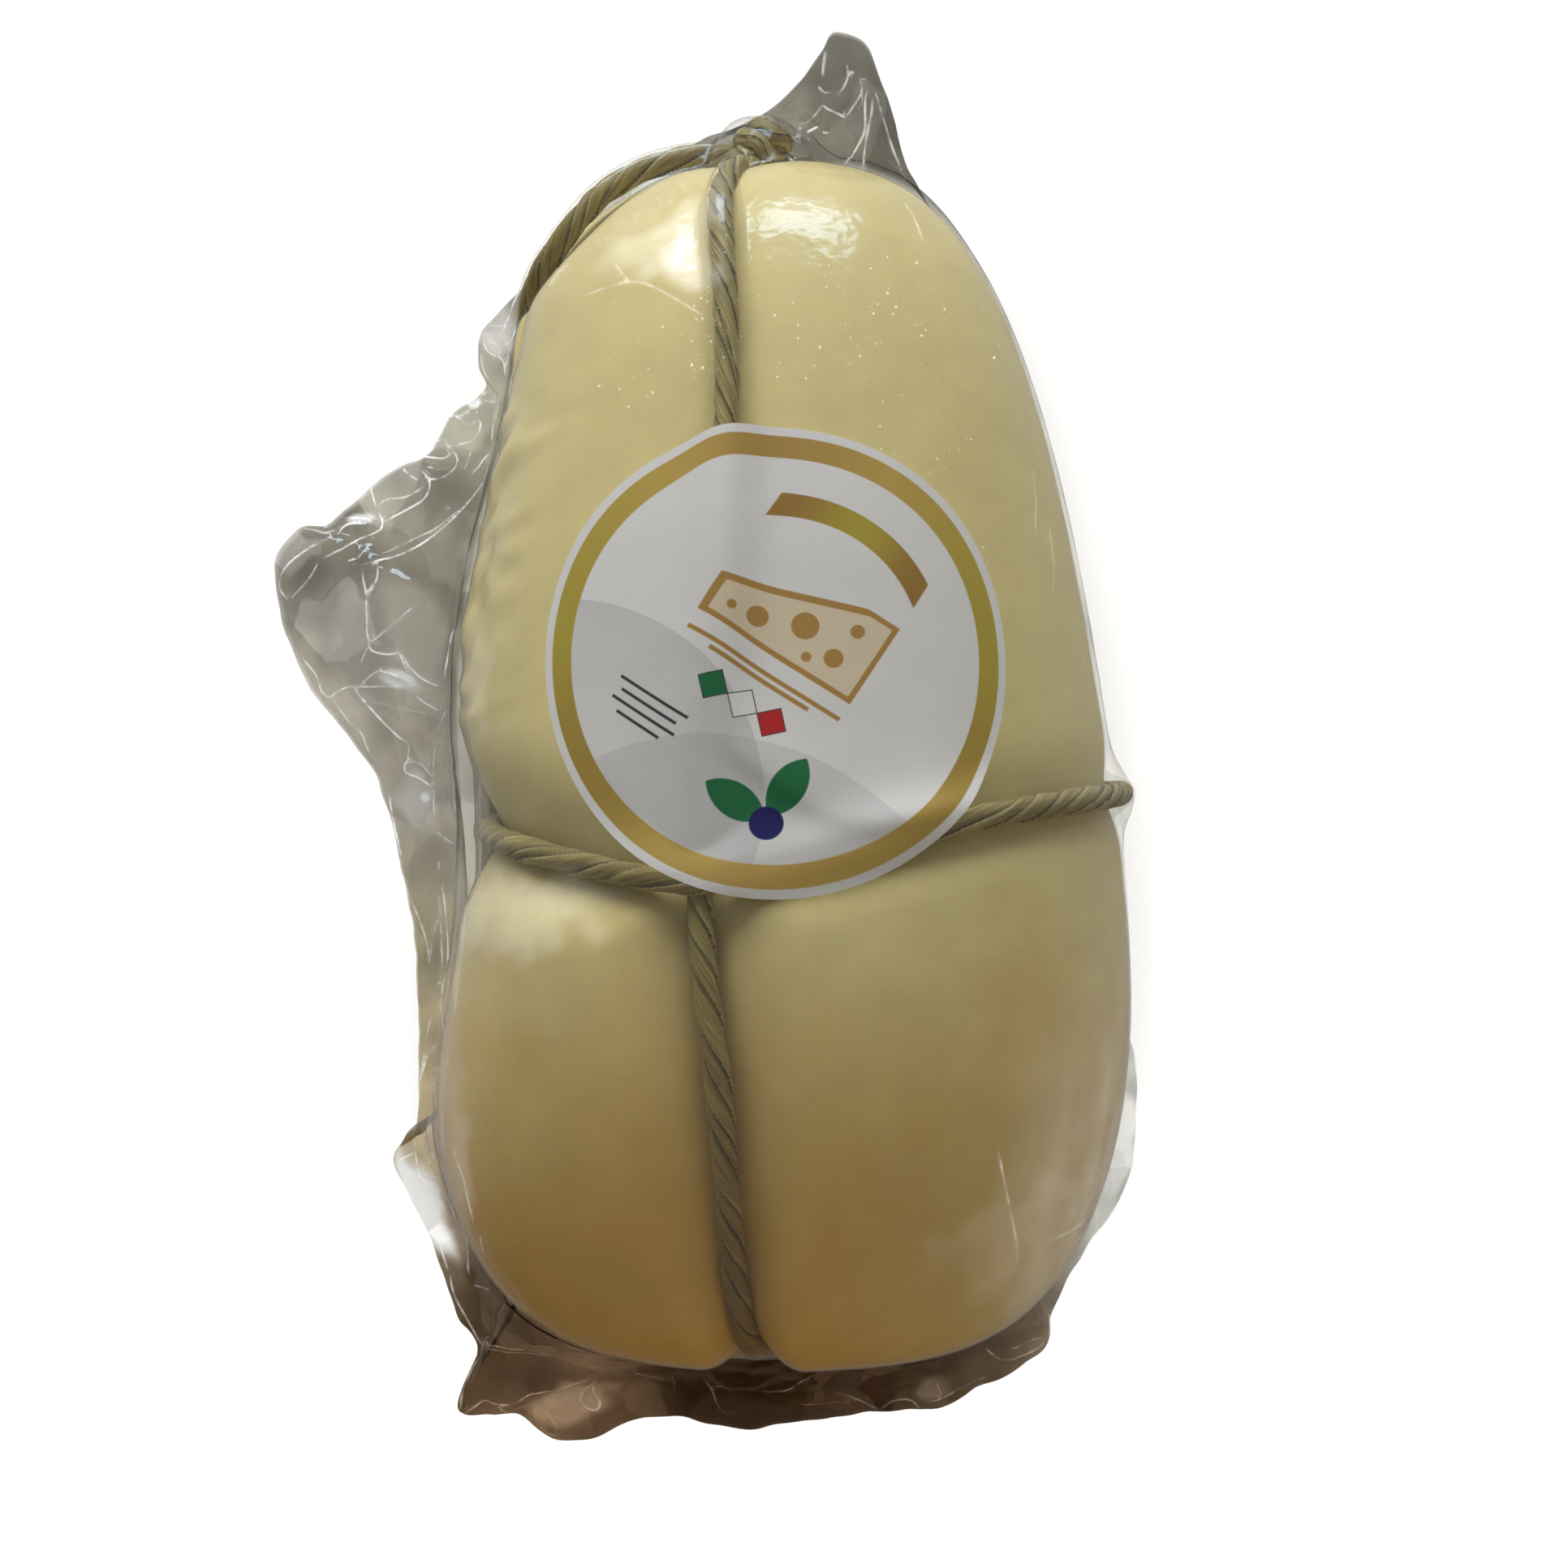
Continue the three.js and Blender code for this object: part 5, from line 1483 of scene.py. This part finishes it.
def widestLine(turn):
    widest = 60 + 0 * turn
    for step in range(3):
        radius = sideRadius(turn, widest)
        widest = axisHeight(radius * np.sin(turn))
    return radius, widest


# The rim, with closer steps where the film reaches far.
def bagEdge():
    turn = np.radians(np.arange(bagForm["tightFrom"], bagForm["tightTo"], 4.0))
    radius = widestLine(turn)[0] + bagForm["tightGap"]
    tight = np.stack((radius * np.cos(turn), radius * np.sin(turn), bagForm["tightHeight"] + 0 * turn), -1)
    dense = throughPoints(np.concatenate((np.array(bagRim, float), tight)), 20)
    reach = np.hypot(dense[:, 0], dense[:, 1]) - widestLine(np.arctan2(dense[:, 1], dense[:, 0]))[0]
    weight = np.linalg.norm(np.roll(dense, -1, 0) - dense, axis=1) * (0.35 + np.clip(reach / 14, 0, 1))
    run = np.concatenate(([0], np.cumsum(weight)))
    ring = np.concatenate((dense, dense[:1]))
    at = np.linspace(0, run[-1], bagForm["columns"], endpoint=False)
    return np.stack([np.interp(at, run, ring[:, k]) for k in range(3)], -1)


# How far the film must stand off the untied cheese to pass the twine and the knot.
def twineClearance(x, y):
    right = 4.4 * np.exp(-(((y + 4.5) / 6.5) ** 2)) * (x > 0)
    narrow = 6 * np.exp(-(((x + 2) / 12) ** 4)) * (y > 90)
    return right + narrow


def bagTint(degrees):
    at = [place for place, colour in bagTints]
    channels = [np.interp(degrees, at, [colour[k] for place, colour in bagTints]) for k in range(3)]
    return np.stack(channels + [0 * degrees + 1], -1)


def bagSheet(edge, front, seed):
    turn = np.maximum.accumulate(np.unwrap(np.arctan2(edge[:, 1], edge[:, 0])))
    radius, widest = widestLine(turn)
    reach = np.maximum(np.hypot(edge[:, 0], edge[:, 1]) - radius, 0.5)
    degrees = np.degrees(turn) % 360
    form, flap = bagForm["front" if front else "back"], bagForm["flap"]
    loose = np.exp(-(((degrees - bagForm["loose"]["at"]) / bagForm["loose"]["spread"]) ** 4))
    hugRows, freeRows = bagForm["hugRows"], bagForm["freeRows"]
    clear = twineClearance(radius * np.cos(turn), radius * np.sin(turn))
    if front:
        start = widest + bagForm["hug"] + bagForm["loose"]["rise"] * loose
        near = 1 - smoothStep(reach, form["near"], form["far"])
        leave = widest - (widest - edge[:, 2]) * near * form["drop"]
    else:
        start = np.maximum(edge[:, 2] - form["start"], form["startLeast"])
        leave = np.maximum(edge[:, 2] - form["leave"], form["leaveLeast"])
    outward = np.stack((np.cos(turn), np.sin(turn), 0 * turn), -1)
    rows, offCheese = [], []
    for share in np.arange(hugRows) / hugRows:
        z = mix(start, leave, share)
        away = sideRadius(turn, z) + bagForm["gap"] + (form["stand"] + clear) * smoothStep(share, 0, 0.6)
        offCheese.append(away - radius)
        rows.append(outward * away[:, None] + np.stack((0 * z, 0 * z, z), -1))
    away = sideRadius(turn, leave) + bagForm["gap"] + form["stand"] + clear
    first = outward * away[:, None] + np.stack((0 * turn, 0 * turn, leave), -1)
    second = first + outward * (reach * flap["out"])[:, None]
    second[:, 2] += (edge[:, 2] - leave) * flap["fall"]
    third = edge - outward * (reach * flap["back"])[:, None]
    third[:, 2] += flap["bow"] * reach if front else -flap["bow"] * reach
    for t in np.arange(freeRows + 1) / freeRows:
        row = first * (1 - t) ** 3 + 3 * second * t * (1 - t) ** 2
        rows.append(row + 3 * third * t * t * (1 - t) + edge * t**3)
    sheet = np.array(rows)
    share = np.concatenate((np.zeros(hugRows), np.linspace(0, 1, freeRows + 1)))[:, None]
    # wide folds in the flaps, and pleats in the skirt
    ring = np.stack(np.broadcast_arrays(100 * np.cos(turn), 100 * np.sin(turn), 26 * share), -1)
    size = np.clip(reach / 40, 0.08, 1)[None, :]
    opens, opened, closes, closed = bagForm["skirt"]
    skirt = (smoothStep(degrees, opens, opened) * (1 - smoothStep(degrees, closes, closed)))[None, :]
    free = smoothStep(share, 0, 0.25) * (1 - smoothStep(share, bagForm["weld"] - 0.1, 1) * 0.8)
    lift = bagForm["folds"] * size * noiseAt(ring, 30, seed)
    pleat = ridgesAt(ring * np.array([1, 1, 0.35]), 11, seed + 1) - 0.6
    crumple = ridgesAt(sheet, 12, seed + 2) - 0.6
    for (everywhere, more), fold in ((bagForm["pleats"], pleat), (bagForm["crumples"], crumple)):
        lift = lift + (everywhere + more * skirt) * fold
    alongRows = np.gradient(sheet, axis=0)
    alongEdge = np.roll(sheet, -1, 1) - np.roll(sheet, 1, 1)
    facing = unit(np.cross(alongEdge, alongRows))
    facing = facing * np.where(np.sum(facing * outward[None], -1) + facing[..., 2] < 0, -1, 1)[..., None]
    sheet = sheet + facing * (free * lift)[..., None]
    jitter = smoothStep(share, 0.6, 1) * bagForm["ragged"] * noiseAt(edge, 6, 10)[None, :]
    sheet = sheet + outward[None] * jitter[..., None]
    off, strong = lineField(sheet, looseLines if front else [])
    if front:
        crease = bagForm["crease"]
        raised = crease["height"] * strong * np.exp(-np.abs(off) / crease["width"])
        sheet = sheet + facing * raised[..., None]
    sheet[..., 2] = np.maximum(sheet[..., 2], bagForm["lowest"])
    # clear where it lies on the cheese, hazy where it hangs in folds at the lower left
    streaks = ridgesAt(np.stack(np.broadcast_arrays(turn * 1.7, share * 7, 0 * turn), -1), 1.0, seed + 4)
    veil = loose[None, :] * (1 - smoothStep(share, 0.5, 0.85))
    rim = 0.3 * smoothStep(share, 0.97, 1) * (1 - 0.9 * smoothStep(degrees, 220, 232) * (degrees < 300))
    haze = veil * (0.05 + 0.16 * np.clip(streaks, 0, 1) ** 2) + rim
    tinted = np.ones(haze.shape)
    tinted[:hugRows] = smoothStep(np.array(offCheese), 0.4, 2.2)
    uneven = 1 + 0.3 * noiseAt(sheet, 16, seed + 6) + 0.2 * noiseAt(sheet, 6, seed + 7)
    tint = mix(np.ones(4), np.clip(bagTint(degrees)[None] * uneven[..., None], 0, 1), tinted[..., None])
    for x, y, wide, long, heading, patchHaze, patchTint in bagPatches:
        inside = inPatch(sheet, x, y, wide, long, heading) * tinted
        haze = mix(haze, patchHaze if front else 0, inside)
        tint = mix(tint, np.array(patchTint + (1,)), inside[..., None])
    values = creaseValues(off, strong * (1 - 0.25 * skirt))
    # where the haze is painted brown with the shadow under the cheese
    values["skirtShade"] = np.broadcast_to(skirt, haze.shape)
    values["matt"] = np.maximum(1 - smoothStep(share, 0.0, 0.1), 0.6 * skirt)
    values["haze"] = haze
    values["tint"] = tint
    return sheet, values


def makeFlaps():
    edge = bagEdge()
    front, frontValues = bagSheet(edge, True, 20)
    back, backValues = bagSheet(edge, False, 40)
    joined, blend = bagForm["weld"], bagForm["weldBlend"]
    weld = smoothStep(np.linspace(0, 1, bagForm["freeRows"] + 1), joined - blend, joined)
    hug = bagForm["hugRows"]
    back[hug:] = mix(back[hug:], front[hug:] - np.array([0, 0, bagForm["weldGap"]]), weld[:, None, None])
    faces = gridFaces(*front.shape[:2])
    material = filmMaterial("loose_film")
    keepFilm(makePiece("film_front", front, [faces[:, ::-1]], material, values=frontValues))
    keepFilm(makePiece("film_back", back, [faces], material, values=backValues))


# Drops of moisture on the film by the narrow end: x, y, half-sizes and how many.
dropFields = [(8, 92, 26, 16, 90), (34, 70, 14, 30, 30), (-22, 84, 14, 12, 22)]
# haze: white that paints the drops' sparkle
dropForm = {"sides": 8, "rings": 3, "size": (0.10, 0.32), "tall": 0.7, "sunk": 0.1, "haze": 0.7, "seed": 11}


def makeDrops(upper):
    random = np.random.default_rng(dropForm["seed"])
    tree = kdtree.KDTree(len(upper))
    for index, place in enumerate(upper):
        tree.insert((place[0], place[1], 0), index)
    tree.balance()
    sides, rings = dropForm["sides"], dropForm["rings"]
    turn = np.linspace(0, 2 * math.pi, sides, endpoint=False)
    points, groups = [], []
    start = 0
    for x, y, halfX, halfY, count in dropFields:
        for k in range(count):
            at = np.array([x + halfX * random.uniform(-1, 1), y + halfY * random.uniform(-1, 1)])
            size = mix(*dropForm["size"], random.random() ** 3)
            height = upper[tree.find((at[0], at[1], 0))[1]][2]
            dome = []
            for slope in np.linspace(0, 0.48 * math.pi, rings):
                wide = size * math.cos(slope)
                high = height - dropForm["sunk"] + dropForm["tall"] * size * math.sin(slope)
                circle = (wide * np.cos(turn) + at[0], wide * np.sin(turn) + at[1], 0 * turn + high)
                dome.append(np.stack(circle, -1))
            points.append(np.concatenate(dome))
            top = np.arange(sides)[None, :] + (rings - 1) * sides
            groups += [gridFaces(rings, sides) + start, top + start]
            start += rings * sides
    points = np.concatenate(points)
    # their haze paints them white as a sparkle
    haze = np.full(len(points), dropForm["haze"])
    values = {"tint": np.tile(skinLook["clear"], (len(points), 1)), "haze": haze}
    keepFilm(makePiece("film_drops", points, groups, filmMaterial("drops"), values=values))


# Light, floor and camera

floorLook = {"colour": (0.88, 0.88, 0.88, 1), "half": 30000.0, "height": -0.3}  # millimetres


def makeFloor():
    material, tree = newTree("pale_floor")
    tone = ranged(tree, noiseNode(tree, objectPlace(tree), 3, 2, 0.5), 0.3, 0.7, 0.99, 1.0)
    colour = blendColour(tree, 1.0, floorLook["colour"], tone, "MULTIPLY")
    endTree(tree, addNode(tree, "ShaderNodeBsdfDiffuse", {"Color": colour}))
    corners = np.array([(-1, -1, 0), (1, -1, 0), (1, 1, 0), (-1, 1, 0)]) * floorLook["half"]
    corners[:, 2] = floorLook["height"]
    floor = makePiece("floor", corners, [np.array([[0, 1, 2, 3]])], material)
    floor.visible_diffuse = False
    floor.visible_glossy = False
    return floor


def makeLight(name, kind, place, target, energy, colour, size=None):
    lamp = bpy.data.lights.new(name, kind)
    lamp.energy = energy
    lamp.color = colour
    if kind == "AREA":
        lamp.shape = "RECTANGLE"
        lamp.size, lamp.size_y = size
    else:
        lamp.angle = math.radians(size)
    light = bpy.data.objects.new(name, lamp)
    light.location = place
    light.rotation_euler = (Vector(target) - Vector(place)).to_track_quat("-Z", "Y").to_euler()
    bpy.context.scene.collection.objects.link(light)
    return light


def onlyOn(light, things, state):
    group = bpy.data.collections.new(light.name + "_on")
    for thing in things:
        group.objects.link(thing)
    for linked in group.collection_objects:
        linked.light_linking.link_state = state
    light.light_linking.receiver_collection = group


# Each light: kind, place, power, colour, size, and whether it lights, shows as a reflection or both.
lightPlan = {
    "daylight": ("AREA", (-0.17, 1.1, 0.38), 11.8, (1.0, 0.99, 0.965), (1.5, 0.5), "lights"),
    "window": ("AREA", (0.05, 1.2, 0.235), 5.6, (0.62, 0.82, 1.0), (0.7, 0.22), "reflects"),
    "lowGlow": ("AREA", (0.5, -1.0, 0.5), 1.3, (1.0, 0.66, 0.25), (0.9, 0.6), "lights"),
}
lightTarget = (0.014, -0.01, 0.07)

# Suns for the floor alone and the film alone: power, colour and width in degrees.
sunPlan = {"overFloor": (4.2, (1, 1, 1), 70), "overFilm": (4.2, (0.97, 0.985, 1), 50)}

# Light from all round: a table that is pale, but brown towards -Y, and a dimmer room above it.
roomLook = {
    "table": (0.60, 0.59, 0.56, 1),
    "brown": (0.10, 0.065, 0.035, 1),
    "room": (0.20, 0.196, 0.186, 1),
    "behind": (0.9, 0.9, 0.9, 1),  # what the camera sees past the floor
}


def makeLights(floor):
    for name, (kind, place, energy, colour, size, part) in lightPlan.items():
        light = makeLight(name, kind, place, lightTarget, energy, colour, size)
        light.visible_diffuse = part != "reflects"
        light.visible_glossy = part != "lights"
        onlyOn(light, [floor], "EXCLUDE")
    suns = {name: makeLight(name, "SUN", (0, 0, 2), (0, 0, 0), *sun) for name, sun in sunPlan.items()}
    onlyOn(suns["overFloor"], [floor], "INCLUDE")
    suns["overFilm"].visible_glossy = False
    onlyOn(suns["overFilm"], filmPieces, "INCLUDE")
    world = bpy.data.worlds.new("room")
    bpy.context.scene.world = world
    world.use_nodes = True
    tree = world.node_tree
    tree.nodes.clear()
    axes = axesOf(tree, addNode(tree, "ShaderNodeTexCoord").outputs["Generated"])
    below = blendColour(tree, ranged(tree, axes["Y"], -0.6, 0.25), roomLook["brown"], roomLook["table"])
    tone = blendColour(tree, ranged(tree, axes["Z"], -0.3, 0.2), below, roomLook["room"])
    dim = addNode(tree, "ShaderNodeBackground", {"Color": tone})
    pale = addNode(tree, "ShaderNodeBackground", {"Color": roomLook["behind"]})
    seen = addNode(tree, "ShaderNodeLightPath").outputs["Is Camera Ray"]
    both = blendShaders(tree, seen, dim, pale)
    addNode(tree, "ShaderNodeOutputWorld", {0: both.outputs[0]})


cameraPlan = {"place": (0.01706, -0.00864, 0.662), "lens": 66, "sensor": 36}


def makeCamera():
    lens = bpy.data.cameras.new("overhead")
    lens.lens = cameraPlan["lens"]
    lens.sensor_width = cameraPlan["sensor"]
    camera = bpy.data.objects.new("overhead", lens)
    camera.location = cameraPlan["place"]
    bpy.context.scene.collection.objects.link(camera)
    bpy.context.scene.camera = camera


makeCamera()
makeCheese()
makeTwine()
makeLabel()
makeDrops(makeSkin())
makeFlaps()
makeLights(makeFloor())
bpy.context.scene.view_settings.view_transform = "Standard"
print("lights and camera ready")

bpy.context.view_layer.update()
